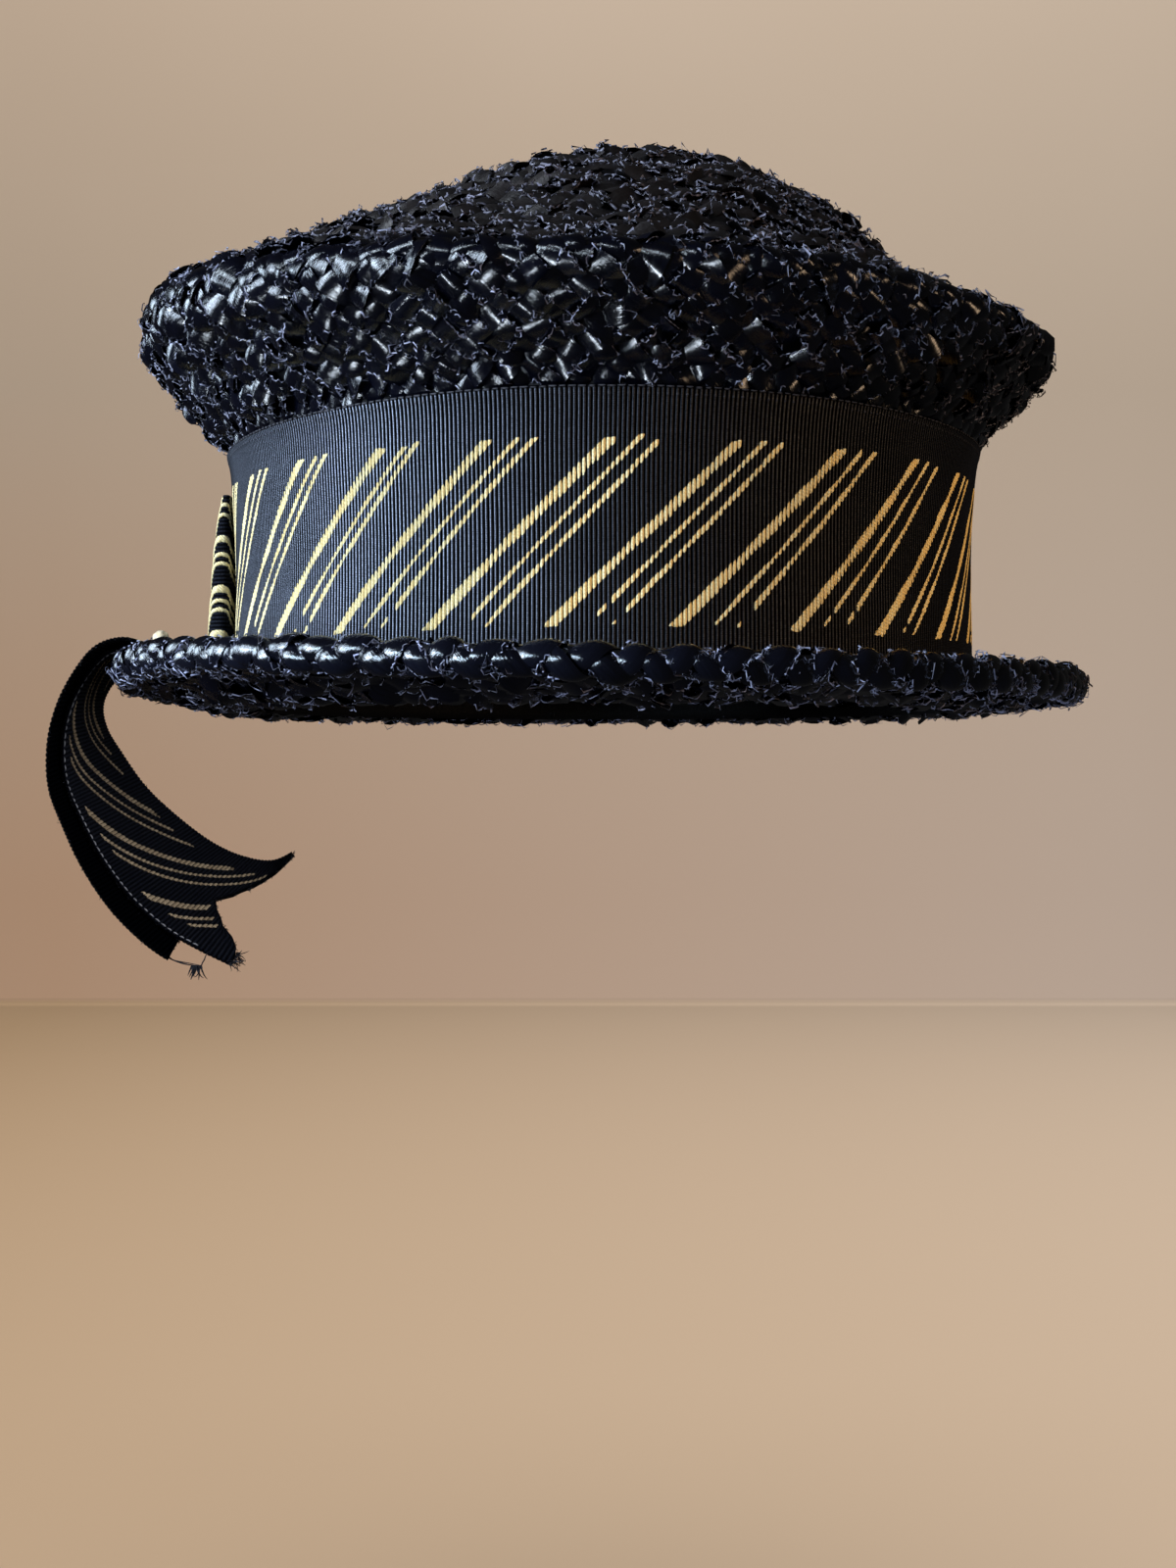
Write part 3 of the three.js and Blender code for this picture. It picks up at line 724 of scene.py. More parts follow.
def ribbon_material(name, groove, crest_sheen, sheen, shine=0.35, rough=(0.5, 0.75), satin=0.0):
    m, nt, b = material(name)
    uv = uvs(nt)
    cr = attr(nt, "crest")
    threads = node(nt, "ShaderNodeTexWave", {"Vector": mapped(nt, uv, (0.0, 1.0, 1.0)), "Scale": 9.0, "Distortion": 1.2, "Detail": 1.0, "Detail Scale": 6.0}, bands_direction="Y").outputs["Fac"]
    speck = node(nt, "ShaderNodeTexNoise", {"Vector": mapped(nt, uv, (11.0, 26.0, 1.0)), "Scale": 1.6, "Detail": 2.0}).outputs["Fac"]
    cloud = node(nt, "ShaderNodeTexNoise", {"Vector": uv, "Scale": 0.35, "Detail": 2.0}).outputs["Fac"]
    # Rib crests are painted lighter than the grooves: painted sheen on the crests and painted shade in the grooves.
    # Where satin is set, the crest colour is mostly the metal's reflection.
    light = mix(nt, remap(nt, threads, 0, 1, 0.0, 0.5), crest_sheen, groove)
    light = mix(nt, remap(nt, speck, 0.38, 0.68, 0.0, 0.62), light, groove)
    tone = mix(nt, remap(nt, cr, 0.64, 1.0, 0.0, 1.0), groove, light)
    tone = mix(nt, remap(nt, cloud, 0.3, 0.7, 0.0, 0.25), tone, groove)
    nt.links.new(tone, b.inputs["Base Color"])
    shine_r = node(nt, "ShaderNodeMath", {0: remap(nt, speck, 0.3, 0.7, rough[0], rough[1]), 1: remap(nt, cr, 0.15, 0.9, 0.5, 0.0)}, operation="ADD", use_clamp=True).outputs[0]
    nt.links.new(shine_r, b.inputs["Roughness"])
    bump = node(nt, "ShaderNodeBump", {"Height": threads, "Strength": 0.2 if satin else 0.5, "Distance": 0.0002})
    nt.links.new(bump.outputs["Normal"], b.inputs["Normal"])
    if satin:
        nt.links.new(remap(nt, cr, 0.58, 0.96, 0.0, satin), b.inputs["Metallic"])
    b.inputs["Sheen Weight"].default_value = sheen
    b.inputs["Sheen Roughness"].default_value = 0.35
    b.inputs["Sheen Tint"].default_value = (0.7, 0.75, 1.0, 1)
    b.inputs["Specular IOR Level"].default_value = shine
    return m


def gold_material(name, bright, deep, metal, rough):
    m, nt, b = material(name)
    uv = uvs(nt)
    tw = node(nt, "ShaderNodeTexWave", {"Vector": mapped(nt, uv, (1.0, 1.0, 1.0)), "Scale": 9.0, "Distortion": 0.8, "Detail": 2.0}, bands_direction="DIAGONAL").outputs["Fac"]
    tone = mix(nt, attr(nt, "rnd"), bright, deep)
    tone = mix(nt, remap(nt, tw, 0.0, 0.6, 0.55, 0.0), tone, deep)
    nt.links.new(tone, b.inputs["Base Color"])
    nt.links.new(remap(nt, tw, 0, 1, rough + 0.15, rough), b.inputs["Roughness"])
    nt.links.new(node(nt, "ShaderNodeBump", {"Height": tw, "Strength": 0.6, "Distance": 0.0002}).outputs["Normal"], b.inputs["Normal"])
    b.inputs["Metallic"].default_value = metal
    return m


RIB = ribbon_material("grosgrain_navy", (0.0005, 0.0006, 0.0012), (0.42, 0.49, 0.62), 0.0, 0.05, (0.30, 0.40), 1.0)
RIB_BACK = ribbon_material("grosgrain_reverse", (0.0010, 0.0012, 0.0024), (0.020, 0.025, 0.044), 0.02, 0.12)
# A darker copy of the ribbon for the hanging end that lies behind the other one: painted shade.
RIB_UNDER_SHADED = ribbon_material("grosgrain_under_painted_shade", (0.0006, 0.0007, 0.0013), (0.003, 0.004, 0.007), 0.0, 0.08)
GOLD = gold_material("gold_thread", (1.0, 0.94, 0.59), (0.92, 0.74, 0.36), 0.06, 0.42)
TAN = gold_material("gold_reverse", (0.92, 0.74, 0.50), (0.60, 0.46, 0.30), 0.0, 0.6)
THREAD_DARK = ribbon_material("loose_thread", (0.004, 0.0045, 0.007), (0.03, 0.034, 0.05), 0.1)
THREAD_EDGE = ribbon_material("edge_thread", (0.035, 0.036, 0.046), (0.16, 0.165, 0.20), 0.0)
THREAD = ribbon_material("stitch_thread", (0.25, 0.26, 0.30), (0.60, 0.62, 0.68), 0.1)
THREAD_TAN = ribbon_material("selvedge_thread", (0.10, 0.075, 0.05), (0.42, 0.34, 0.24), 0.0)


def dashes(place, us, vs, hs, seed, long=0.62, tall=0.30, high=0.16, sign=1.0, slant=0.0, name_us=None):
    """Short stitches lying on the ribbon: small domed strips."""
    r = np.random.default_rng(seed)
    k = len(us)
    gu = np.linspace(-0.5, 0.5, 4)[None, :, None]
    gv = np.linspace(-0.5, 0.5, 3)[None, None, :]
    L = long * (1 + r.normal(0, 0.12, k))[:, None, None]
    T = tall * (1 + r.normal(0, 0.12, k))[:, None, None]
    u = us[:, None, None] + gu * L + 0 * gv
    v = vs[:, None, None] + gv * T * (1 - 1.4 * gu * gu) + slant * gu * L + r.normal(0, 0.04, k)[:, None, None]
    h = hs[:, None, None] + sign * high * (1 - 3.2 * gu * gu) * (1 - 3.2 * gv * gv)
    P = place(u, v, h)
    g = grid_quads(4, 3)
    q = (np.arange(k)[:, None, None] * 12 + g[None]).reshape(-1, 4)
    if sign > 0:
        q = q[:, ::-1]
    return P.reshape(-1, 3), q, np.stack([u, v], -1).reshape(-1, 2) / 10, np.repeat(r.random(k), 12)


# ---- the band
fine_th = np.linspace(-math.pi / 2, 1.5 * math.pi, 2881)
band_run = np.concatenate([[0], np.cumsum(np.linalg.norm(np.diff(crown(3.0, fine_th), axis=0), axis=-1))])
ROUND = band_run[-1]
RIBS = int(round(ROUND / PITCH))
band_rows = np.linspace(BAND_FOOT_ROW, 5.0, 241)
up_run = np.concatenate([[0], np.cumsum(np.linalg.norm(np.diff(crown(band_rows, -math.pi / 2), axis=0), axis=-1))])
BAND_TALL = up_run[-1]
print("band round", ROUND, "ribs", RIBS, "tall", BAND_TALL)


def band_place(u, v, h):
    th = np.interp(u % ROUND, band_run, fine_th)
    row = np.interp(v / WIDE, up_run / BAND_TALL, band_rows)
    P, dp, dq, N = patch(crown, row, th)
    return P + N * h[..., None]


rib_step = ROUND / RIBS
band_us = lambda i: np.asarray(i) * rib_step
r = np.random.default_rng(88)
vs = np.concatenate([[0.0, 0.6], np.linspace(3.0, 46.0, 6), [49.0, 52.0, 54.4, 55.6, 56.4, 57.0]])
v, f, uv, cr = ribbed(band_place, RIBS, band_us, vs, True, back=0.42, face=1.16, back_rows=4)
band = make("band_ribbon", v, f[:, ::-1], RIB, uv=uv, attrs={"crest": cr})
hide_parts("hat_band")

GROUPS = 24
shift = ROUND / GROUPS / 24.5
paths = []
for row_ in stripe_paths(0.0, GROUPS, 91):
    row_[0] = (row_[0] - 11.3) * shift
    row_[1] = row_[0] + row_[7] + rng.normal(0, 0.2)
    paths.append(row_)
v, f, uv, rd = stripe_patches(band_place, paths, RIBS, band_us, 92, 1.16)
band_gold = make("band_gold", v, f, GOLD, uv=uv, attrs={"rnd": rd})
i = np.arange(RIBS)
i2 = i[::2]
v, f, uv, rd = dashes(band_place, band_us(i2) + 0.45, np.full(len(i2), 55.3), np.full(len(i2), 1.36), 93, long=0.50, tall=0.34, high=0.14)
v2, f2, uv2, rd2 = dashes(band_place, band_us(i2) + 0.9, np.full(len(i2), 56.8), np.full(len(i2), 1.14), 94, long=1.35, tall=0.36, high=0.16)
v, f, uv, rd = np.concatenate([v, v2]), np.concatenate([f, f2 + len(v)]), np.concatenate([uv, uv2]), np.concatenate([rd, rd2])
band_stitch = make("band_stitch", v, f, THREAD_EDGE, uv=uv, attrs={"rnd": rd, "crest": np.ones(len(v)) * 0.9})

# ------------------------------------------------------------------ hanging ends of the ribbon
TAIL_NEAR_Y, TAIL_FAR_Y = -27.0, 28.0
TAIL = np.array([
    [-88.0, 5.9, -88.0, 5.9], [-96.0, 8.9, -96.0, 8.9], [-101.4, 12.4, -101.4, 12.2], [-105.3, 13.7, -106.0, 13.5],
    [-110.5, 12.2, -113.0, 12.2], [-114.8, 7.6, -119.2, 8.4], [-118.4, 0.9, -122.4, 2.6], [-120.2, -7.0, -121.6, -3.4],
    [-119.7, -16.0, -118.0, -9.6], [-116.5, -24.2, -112.1, -17.9], [-111.8, -33.2, -104.8, -24.9],
    [-105.4, -42.0, -95.9, -31.6], [-97.8, -49.0, -88.0, -35.2], [-90.4, -53.4, -80.6, -36.2], [-82.8, -57.1, -74.5, -33.4],
])
NOTCH_DEPTH, NOTCH_PLACE = 0.115, 0.45
UNDER_SHIFT, UNDER_OFFSET, UNDER_LENGTH = 0.145, 1.45, 0.90


def tail_middle(along, across):
    v = between(TAIL, np.clip(along, 0, 1) * (len(TAIL) - 1))
    x = v[..., 0] + (v[..., 2] - v[..., 0]) * across
    y = TAIL_NEAR_Y + (TAIL_FAR_Y - TAIL_NEAR_Y) * across
    z = v[..., 1] + (v[..., 3] - v[..., 1]) * across
    return np.stack([x, y + 0 * x, z], -1)


def tail_at(along, across, h):
    along, across, h = np.broadcast_arrays(along, across, h)
    e = 0.004
    a, b = np.maximum(along - e, 0), np.minimum(along + e, 1)
    down = tail_middle(b, across) - tail_middle(a, across)
    wide = tail_middle(along, across + e) - tail_middle(along, across - e)
    return tail_middle(along, across) + unit(np.cross(wide, down)) * h[..., None]


al = np.linspace(0, 1, 601)
tail_run = np.concatenate([[0], np.cumsum(np.linalg.norm(np.diff(tail_middle(al, 0.5), axis=0), axis=-1))])
TAIL_LONG = tail_run[-1]
print("tail long", TAIL_LONG)


def notched(across):
    near_side = np.clip((across - 0.10) / (NOTCH_PLACE - 0.10), 0, 1) ** 0.85
    far_side = (1 - across) / (1 - NOTCH_PLACE)
    blunt = 0.030 * np.clip((across - 0.945) / 0.055, 0, 1) ** 1.5 + 0.012 * np.clip((0.03 - across) / 0.03, 0, 1) ** 2
    return 1 - NOTCH_DEPTH * np.where(across < NOTCH_PLACE, near_side, far_side) - blunt


def slanted(across):
    return UNDER_LENGTH - 0.05 * across


def tail_place(shift_, offset):
    def place(u, v, h):
        return tail_at(np.interp(u, tail_run, al), v / WIDE + shift_, h + offset)
    return place


def tail_trim(end):
    def trim(U, V):
        ragged = 0.25 * np.sin(V * 6.1) + 0.2 * np.sin(V * 13.7)
        return np.minimum(U, np.interp(end(V / WIDE), al, tail_run) + ragged)
    return trim


TRIBS = int(TAIL_LONG / PITCH) + 1
tail_us = lambda i: np.asarray(i) * PITCH
vs = np.concatenate([[0.0, 0.45, 1.0], np.linspace(3.4, 53.6, 15), [56.0, 56.55, 57.0]])
vs = np.sort(np.append(vs, NOTCH_PLACE * WIDE))
front_place, under_place = tail_place(0.0, 0.0), tail_place(-UNDER_SHIFT, UNDER_OFFSET)
v, f, uv, cr = ribbed(front_place, TRIBS, tail_us, vs, False, face=0.32, back=-0.32, back_ribs=True, crest=0.24, trim=tail_trim(notched))
tail_front = make("tail_front_ribbon", v, f, RIB_BACK, uv=uv, attrs={"crest": cr})
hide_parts("tail_front")
vs = np.concatenate([[0.0, 0.45, 1.0], np.linspace(4.5, 52.5, 8), [56.0, 56.55, 57.0]])
v, f, uv, cr = ribbed(under_place, TRIBS, tail_us, vs, False, face=0.32, back=-0.32, back_ribs=True, crest=0.24, trim=tail_trim(slanted))
tail_under = make("tail_under_ribbon", v, f, RIB_UNDER_SHADED, uv=uv, attrs={"crest": cr})
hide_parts("tail_under")

# ------------------------------------------------------------------ standing loop of ribbon
LOOP = np.array([[11.0, 8.2], [17, 8.0], [24, 7.7], [31, 7.2], [38, 6.3], [44, 4.8], [49.5, 2.9]])
NEAR_Y, FAR_Y, BOXINESS = -9.0, 42.0, 0.55


def loop_centre(z, out, turn):
    ring_ = between(CROWN, 1 + (z - 3) / 14.25)
    c, s = np.cos(turn), np.sin(turn)
    half, mid = (FAR_Y - NEAR_Y) / 2, (FAR_Y + NEAR_Y) / 2
    y = mid + half * c
    face_ = (ring_[..., 0] + GAP + RIBBON) * np.sqrt(1 - (y / (ring_[..., 2] + GAP + RIBBON)) ** 2)
    inner, outer_ = GAP + 0.15 + RIBBON / 2, out - RIBBON / 2
    stand = (inner + outer_) / 2 + (outer_ - inner) / 2 * np.sign(s) * np.abs(s) ** BOXINESS
    return np.stack([-face_ - stand, y, z + 0 * y], -1)


turns = np.linspace(0, TAU, 1441)
loop_mid = loop_centre(np.full(1441, 30.0), np.full(1441, 7.2), turns)
loop_run = np.concatenate([[0], np.cumsum(np.linalg.norm(np.diff(loop_mid, axis=0), axis=-1))])
LOOP_ROUND = loop_run[-1]
print("loop round", LOOP_ROUND)


def loop_place(u, v, h):
    """u up the loop from its foot, v round it from its far end over the outside."""
    u, v, h = np.broadcast_arrays(u, v, h)
    z = 11.0 + u
    out = np.interp(z, LOOP[:, 0], LOOP[:, 1])
    turn = np.interp(v % LOOP_ROUND, loop_run, turns)
    e = 0.03
    P = loop_centre(z, out, turn)
    way = loop_centre(z, out, turn + e) - loop_centre(z, out, turn - e)
    way = unit(way * np.array([1, 1, 0]))
    return P + np.stack([way[..., 1], -way[..., 0], 0 * z], -1) * h[..., None]


Z_RIBS = int(round(38.5 / PITCH))
zs = np.arange(Z_RIBS * 4 + 1) / 4 * PITCH
zs = np.minimum(zs, 38.5)
tv = np.arange(80) / 80 * TAU
lv = np.interp(tv, turns, loop_run)
U, V = np.meshgrid(zs, lv, indexing="ij")
up = np.choose(np.arange(len(zs)) % 4, [0.0, 0.74, 1.0, 0.74])[:, None] + 0 * U
sag = 0.9 * np.sin(V / LOOP_ROUND * TAU * 2) * (U / 38.5) * (1 - U / 38.5)
fold = 0.25 * np.sin(U / 38.5 * 5 + V * 0.11)
outer_w = loop_place(np.clip(U + sag, 0, 38.5), V, 0.36 + fold * 0 + 0.24 * (up - 0.5))
Ui, Vi = np.meshgrid(np.linspace(38.5, 0, 9), lv, indexing="ij")
inner_w = loop_place(Ui, Vi, np.full(Ui.shape, -0.4))
P = np.concatenate([outer_w, inner_w])
v = P.reshape(-1, 3)
f = grid_quads(P.shape[0], P.shape[1], True, True)
uv = np.concatenate([np.stack([U, V], -1), np.stack([Ui, Vi + 300], -1)]).reshape(-1, 2) / 10
cr = np.concatenate([up, 0 * Ui]).ravel()
loop = make("loop_ribbon", v, f, RIB_BACK, uv=uv, attrs={"crest": cr})
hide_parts("ribbon_loop")

# gold arcs round the loop: height at the near bend, half width
ARCS = [(72.4, 0.9), (69.6, 0.5), (67.5, 0.5), (61.2, 0.9), (58.6, 0.5), (56.4, 0.5), (50.3, 0.9), (47.3, 0.5), (45.0, 0.45), (39.5, 0.85), (35.9, 0.5), (33.8, 0.5), (28.0, 0.9), (25.3, 0.5), (23.2, 0.5), (17.7, 0.9), (14.6, 0.5), (12.9, 0.45)]
near_v = np.interp(math.pi, turns, loop_run)
parts = []
r = np.random.default_rng(510)
for z0, half in ARCS:
    aa = np.concatenate([np.linspace(-54, -3.2, 64), np.linspace(-3.0, 3.2, 30), np.linspace(3.6, 50, 64)])
    drop = np.where(np.abs(aa) < 3.0, 0.26 * aa ** 2, 2.34 + (np.abs(aa) - 3.0) * np.where(aa < 0, 0.62, 0.5))
    jag = 0.10 * np.sin(np.arange(len(aa)) * 2.6) + r.normal(0, 0.04, len(aa))
    cols = np.array([-1.0, -0.8, 0.0, 0.8, 1.0])
    hh = np.array([-0.2, 0.12, 0.17, 0.12, -0.2])
    zc = z0 - 11.0 - drop
    ok = (zc > 0.8) & (zc < 38.0)
    if ok.sum() < 6:
        continue
    aa, zc, jag = aa[ok], zc[ok], jag[ok]
    Uc = zc[:, None] + cols[None] * half + jag[:, None] * np.sign(cols)[None]
    Vc = near_v + aa[:, None] + 0 * Uc
    Pc = loop_place(np.clip(Uc, 0.2, 38.3), Vc, 0.36 + 0.10 + hh[None] + 0 * Uc)
    parts.append((Pc.reshape(-1, 3), grid_quads(len(aa), 5), np.stack([Uc, Vc], -1).reshape(-1, 2) / 10, np.repeat(r.random(len(aa)), 5), np.zeros((len(aa) - 1) * 4, int)))
v, f, uv, rd, _ = joined(parts)
loop_gold = make("loop_gold", v, f, GOLD, uv=uv, attrs={"rnd": rd})

# stripes that show through on the reverse of the hanging end, each with its own run
# columns: foot along, head along, half width, wobble, foot across, head across, broken
def hanging(rows, first, last, v0=6.4, v1=46.8):
    out = []
    for k in range(first, last):
        u0 = 39.8 + 23.4 * k
        for foot, head, half, w0 in ((0.0, 31.6, 1.0, 0.0), (6.9, 37.4, 0.55, 0.9), (11.2, 42.9, 0.55, 1.6)):
            out.append([u0 + foot, u0 + head, half, -1.4, v0 + w0, v1, 0])
    return out


def inside(end):
    def keep(uu, vv):
        stop = np.interp(end(vv / WIDE), al, tail_run)
        return bool((uu < stop - 0.3).all() and (uu > 0.5).all())
    return keep


rows = hanging(None, -2, 3)
v, f, uv, rd = stripe_patches(front_place, rows, TRIBS, None, 611, -0.32, crest=0.24, lift=0.12, sign=-1.0, keep=inside(notched))
tan_front = make("tail_front_stripes", v, f, TAN, uv=uv, attrs={"rnd": rd})
v, f, uv, rd = stripe_patches(under_place, rows, TRIBS, None, 613, 0.32, crest=0.24, lift=0.10, sign=1.0, keep=inside(slanted))
gold_under = make("tail_under_gold", v, f, GOLD, uv=uv, attrs={"rnd": rd})
v, f, uv, rd = stripe_patches(front_place, [q for q in rows if q[1] > 80], TRIBS, None, 614, 0.32, crest=0.24, lift=0.08, sign=1.0, keep=lambda a, b: inside(notched)(a, b) and a.min() > 88)
gold_front = make("tail_front_gold", v, f, GOLD, uv=uv, attrs={"rnd": rd})

# stitches along the near selvedge
su = np.arange(4.0, 102.0, 1.55)
v, f, uv, rd = dashes(front_place, su, np.full(len(su), 0.85), np.full(len(su), -0.44), 620, long=1.05, tall=0.50, high=0.24, sign=-1.0, slant=0.12)
tail_stitch = make("tail_stitch", v, f, THREAD, uv=uv, attrs={"rnd": rd, "crest": np.ones(len(v)) * 0.95})


# ------------------------------------------------------------------ loose threads
def tubes(lines, radius, sides=5):
    """Round threads along lines of points, thinner to their ends."""
    V, Q, base = [], [], 0
    for line, rad in zip(lines, radius):
        line = np.asarray(line, float)
        n = len(line)
        d = unit(np.gradient(line, axis=0))
        ref = np.array([0.3, 0.9, 0.2])
        a = unit(np.cross(d, ref))
        b = np.cross(d, a)
        ang = np.arange(sides) / sides * TAU
        thin = np.clip(np.minimum(1.0, 1.25 - np.linspace(0, 1, n) ** 2), 0.25, 1)[:, None, None] * rad
        ringp = line[:, None] + thin * (a[:, None] * np.cos(ang)[None, :, None] + b[:, None] * np.sin(ang)[None, :, None])
        V.append(ringp.reshape(-1, 3))
        Q.append(grid_quads(n, sides, False, True)[:, ::-1] + base)
        base += n * sides
    return np.concatenate(V), np.concatenate(Q)


def wisp(start, way, long, seed, steps=7, wild=0.5):
    r_ = np.random.default_rng(seed)
    p, d = np.array(start, float), unit(np.array(way, float))
    pts = [p]
    bend = r_.normal(0, wild, 3)
    for _ in range(steps):
        d = unit(d + bend * 0.25 + r_.normal(0, wild * 0.25, 3) + np.array([0, 0, -0.03]))
        p = p + d * long / steps
        pts.append(p)
    return pts


def cut_edge(place, end, vs_, seed, lengths, radius, count_each=1):
    lines, rads = [], []
    r_ = np.random.default_rng(seed)
    for k_, v_ in enumerate(vs_):
        u_ = float(np.interp(end(v_ / WIDE), al, tail_run))
        a_ = place(np.array([u_ - 1.2]), np.array([v_]), np.array([0.0]))[0]
        b_ = place(np.array([u_ - 0.2]), np.array([v_]), np.array([0.0]))[0]
        way = unit(b_ - a_) + r_.normal(0, 0.22, 3)
        lines.append(wisp(b_ + r_.normal(0, 0.12, 3), way, r_.uniform(*lengths), seed * 100 + k_))
        rads.append(r_.uniform(*radius))
    return lines, rads


lines, rads = [], []
r = np.random.default_rng(640)
for place_, end_, where, lengths in (
    (front_place, notched, r.uniform(0.3, 56.7, 150), (0.3, 1.1)),
    (front_place, notched, r.uniform(0.2, 5.5, 34), (1.2, 3.6)),
    (front_place, notched, r.uniform(52.5, 56.8, 12), (0.6, 1.6)),
    (under_place, slanted, r.uniform(0.3, 56.7, 90), (0.3, 1.2)),
):
    a, b = cut_edge(place_, end_, where, int(r.integers(1, 9999)), lengths, (0.07, 0.15))
    lines += a
    rads += b
# short fluff along the selvedges
far_from = len(lines) + 170
far_to = far_from + 190
for place_, v_, n_, top in ((front_place, 0.0, 170, 104.0), (front_place, 57.0, 190, 100.0), (under_place, 0.0, 210, 94.0)):
    for k_ in range(n_):
        u_ = r.uniform(6, top)
        p_ = place_(np.array([u_]), np.array([v_]), np.array([0.0]))[0]
        q_ = place_(np.array([u_]), np.array([v_ + (0.5 if v_ == 0 else -0.5)]), np.array([0.0]))[0]
        lines.append(wisp(p_ + r.normal(0, 0.15, 3), unit(p_ - q_) + r.normal(0, 0.5, 3), r.uniform(0.25, 0.6), int(r.integers(1, 1e6)), steps=3))
        rads.append(r.uniform(0.05, 0.09))
v, f = tubes(lines[far_from:far_to], [q_ * 1.5 for q_ in rads[far_from:far_to]], 4)
selvedge = make("tail_selvedge", v, f, THREAD_TAN, uv=v[:, [0, 2]] * 0.1, attrs={"crest": np.full(len(v), 0.8), "rnd": np.full(len(v), 0.5)})
del lines[far_from:far_to], rads[far_from:far_to]
v, f = tubes(lines, rads, 4)
frays = make("tail_frays", v, f, THREAD_DARK, uv=v[:, [0, 2]] * 0.1, attrs={"crest": np.full(len(v), 0.6), "rnd": np.full(len(v), 0.5)})

# one long thread pulled out of the shorter end, with a tuft hanging from it
start = under_place(np.array([float(np.interp(slanted(0.02), al, tail_run)) - 0.3]), np.array([1.0]), np.array([0.0]))[0]
tip = start + np.array([7.4, 0.6, -1.9])
t_ = np.linspace(0, 1, 16)[:, None]
line = start + (tip - start) * t_ + np.array([0, 0, -0.55]) * np.sin(math.pi * t_)
lines, rads = [line], [0.16]
lines.append(line[3:] + np.array([0.0, 0.15, 0.32]) * np.sin(np.linspace(0, math.pi, 13))[:, None])
rads.append(0.12)
rise = [tip + np.array([0.1, 0, 0]) + np.array([0.25 * k, 0.1 * k, 0.62 * k]) + r.normal(0, 0.05, 3) for k in range(6)]
lines.append(rise)
rads.append(0.15)
for k_ in range(16):
    base_ = line[11] * (1 - k_ / 15) + tip * (k_ / 15)
    lines.append(wisp(base_, np.array([-0.35 + 0.05 * k_, r.normal(0, 0.2), -1.0]), r.uniform(1.4, 3.6), 9100 + k_, wild=0.35))
    rads.append(r.uniform(0.15, 0.25))
v, f = tubes(lines, rads)
thread = make("tail_thread", v, f, THREAD_DARK, uv=v[:, [0, 2]] * 0.1, attrs={"crest": np.full(len(v), 0.7), "rnd": np.full(len(v), 0.5)})

# ------------------------------------------------------------------ pin head
BEAD = np.array([-98.7, -24.0, 15.65])
la, lo = np.meshgrid(np.linspace(0.02, math.pi - 0.02, 33), np.arange(48) / 48 * TAU, indexing="ij")
d = np.stack([np.sin(la) * np.cos(lo), np.sin(la) * np.sin(lo), np.cos(la)], -1)
bump_ = 1 + 0.035 * np.sin(5 * lo + 2 * la) * np.sin(la) + 0.03 * np.sin(9 * la + 3 * lo)
P = BEAD + d * (1.88 * bump_)[..., None]
v = np.concatenate([P.reshape(-1, 3), [BEAD + [0, 0, 1.9], BEAD - [0, 0, 1.9]]])
f = grid_quads(33, 48, False, True)[:, ::-1]
k = np.arange(48)
ts_ = np.concatenate([np.stack([k, (k + 1) % 48, np.full(48, 33 * 48)], -1)[:, ::-1], np.stack([32 * 48 + k, 32 * 48 + (k + 1) % 48, np.full(48, 33 * 48 + 1)], -1)])
m, nt, b = material("pearl_cream")
co = node(nt, "ShaderNodeTexCoord").outputs["Object"]
no = node(nt, "ShaderNodeTexNoise", {"Vector": co, "Scale": 900.0, "Detail": 3.0}).outputs["Fac"]
nt.links.new(mix(nt, remap(nt, no, 0.35, 0.65, 0.0, 1.0), (0.93, 0.84, 0.64), (0.72, 0.55, 0.34)), b.inputs["Base Color"])
nt.links.new(remap(nt, no, 0.3, 0.7, 0.15, 0.35), b.inputs["Roughness"])
b.inputs["Coat Weight"].default_value = 0.6
b.inputs["Coat Roughness"].default_value = 0.08
PEARL = m
bead = make("pearl_head", v, f, PEARL, tris=ts_)
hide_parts("pin_head")
lines, rads = [], []
for k_ in range(7):
    a_ = k_ / 7 * TAU
    ringl = [BEAD + np.array([0, 0, -1.45]) + 1.30 * np.array([math.cos(a_ + t * 0.9), math.sin(a_ + t * 0.9), 0]) + np.array([0, 0, 0.1 * math.sin(6 * t)]) for t in np.linspace(0, 1.1, 6)]
    lines.append(ringl)
    rads.append(0.17)
v, f = tubes(lines, rads)
bead_thread = make("pearl_thread", v, f, GOLD, uv=v[:, :2] * 0.1, attrs={"rnd": np.full(len(v), 0.4)})

# ------------------------------------------------------------------ camera, stage and light
def look_at(ob, target):
    from mathutils import Vector
    d = Vector(target) - ob.location
    ob.rotation_euler = d.to_track_quat("-Z", "Y").to_euler()


cam_data = bpy.data.cameras.new("camera")
cam_data.sensor_width = 36
cam_data.lens = 54.09
cam = bpy.data.objects.new("camera", cam_data)
cam.location = (-0.0032, -0.551, -0.0124)
cam.rotation_euler = (math.radians(90 - 0.477), 0, 0)
bpy.context.scene.collection.objects.link(cam)
bpy.context.scene.camera = cam


def area(name, loc, target, size, power, colour, size_y=None):
    li = bpy.data.lights.new(name, "AREA")
    li.energy = power
    li.color = colour
    li.size = size
    if size_y:
        li.shape = "RECTANGLE"
        li.size_y = size_y
    ob = bpy.data.objects.new(name, li)
    ob.location = loc
    look_at(ob, target)
    bpy.context.scene.collection.objects.link(ob)
    return ob


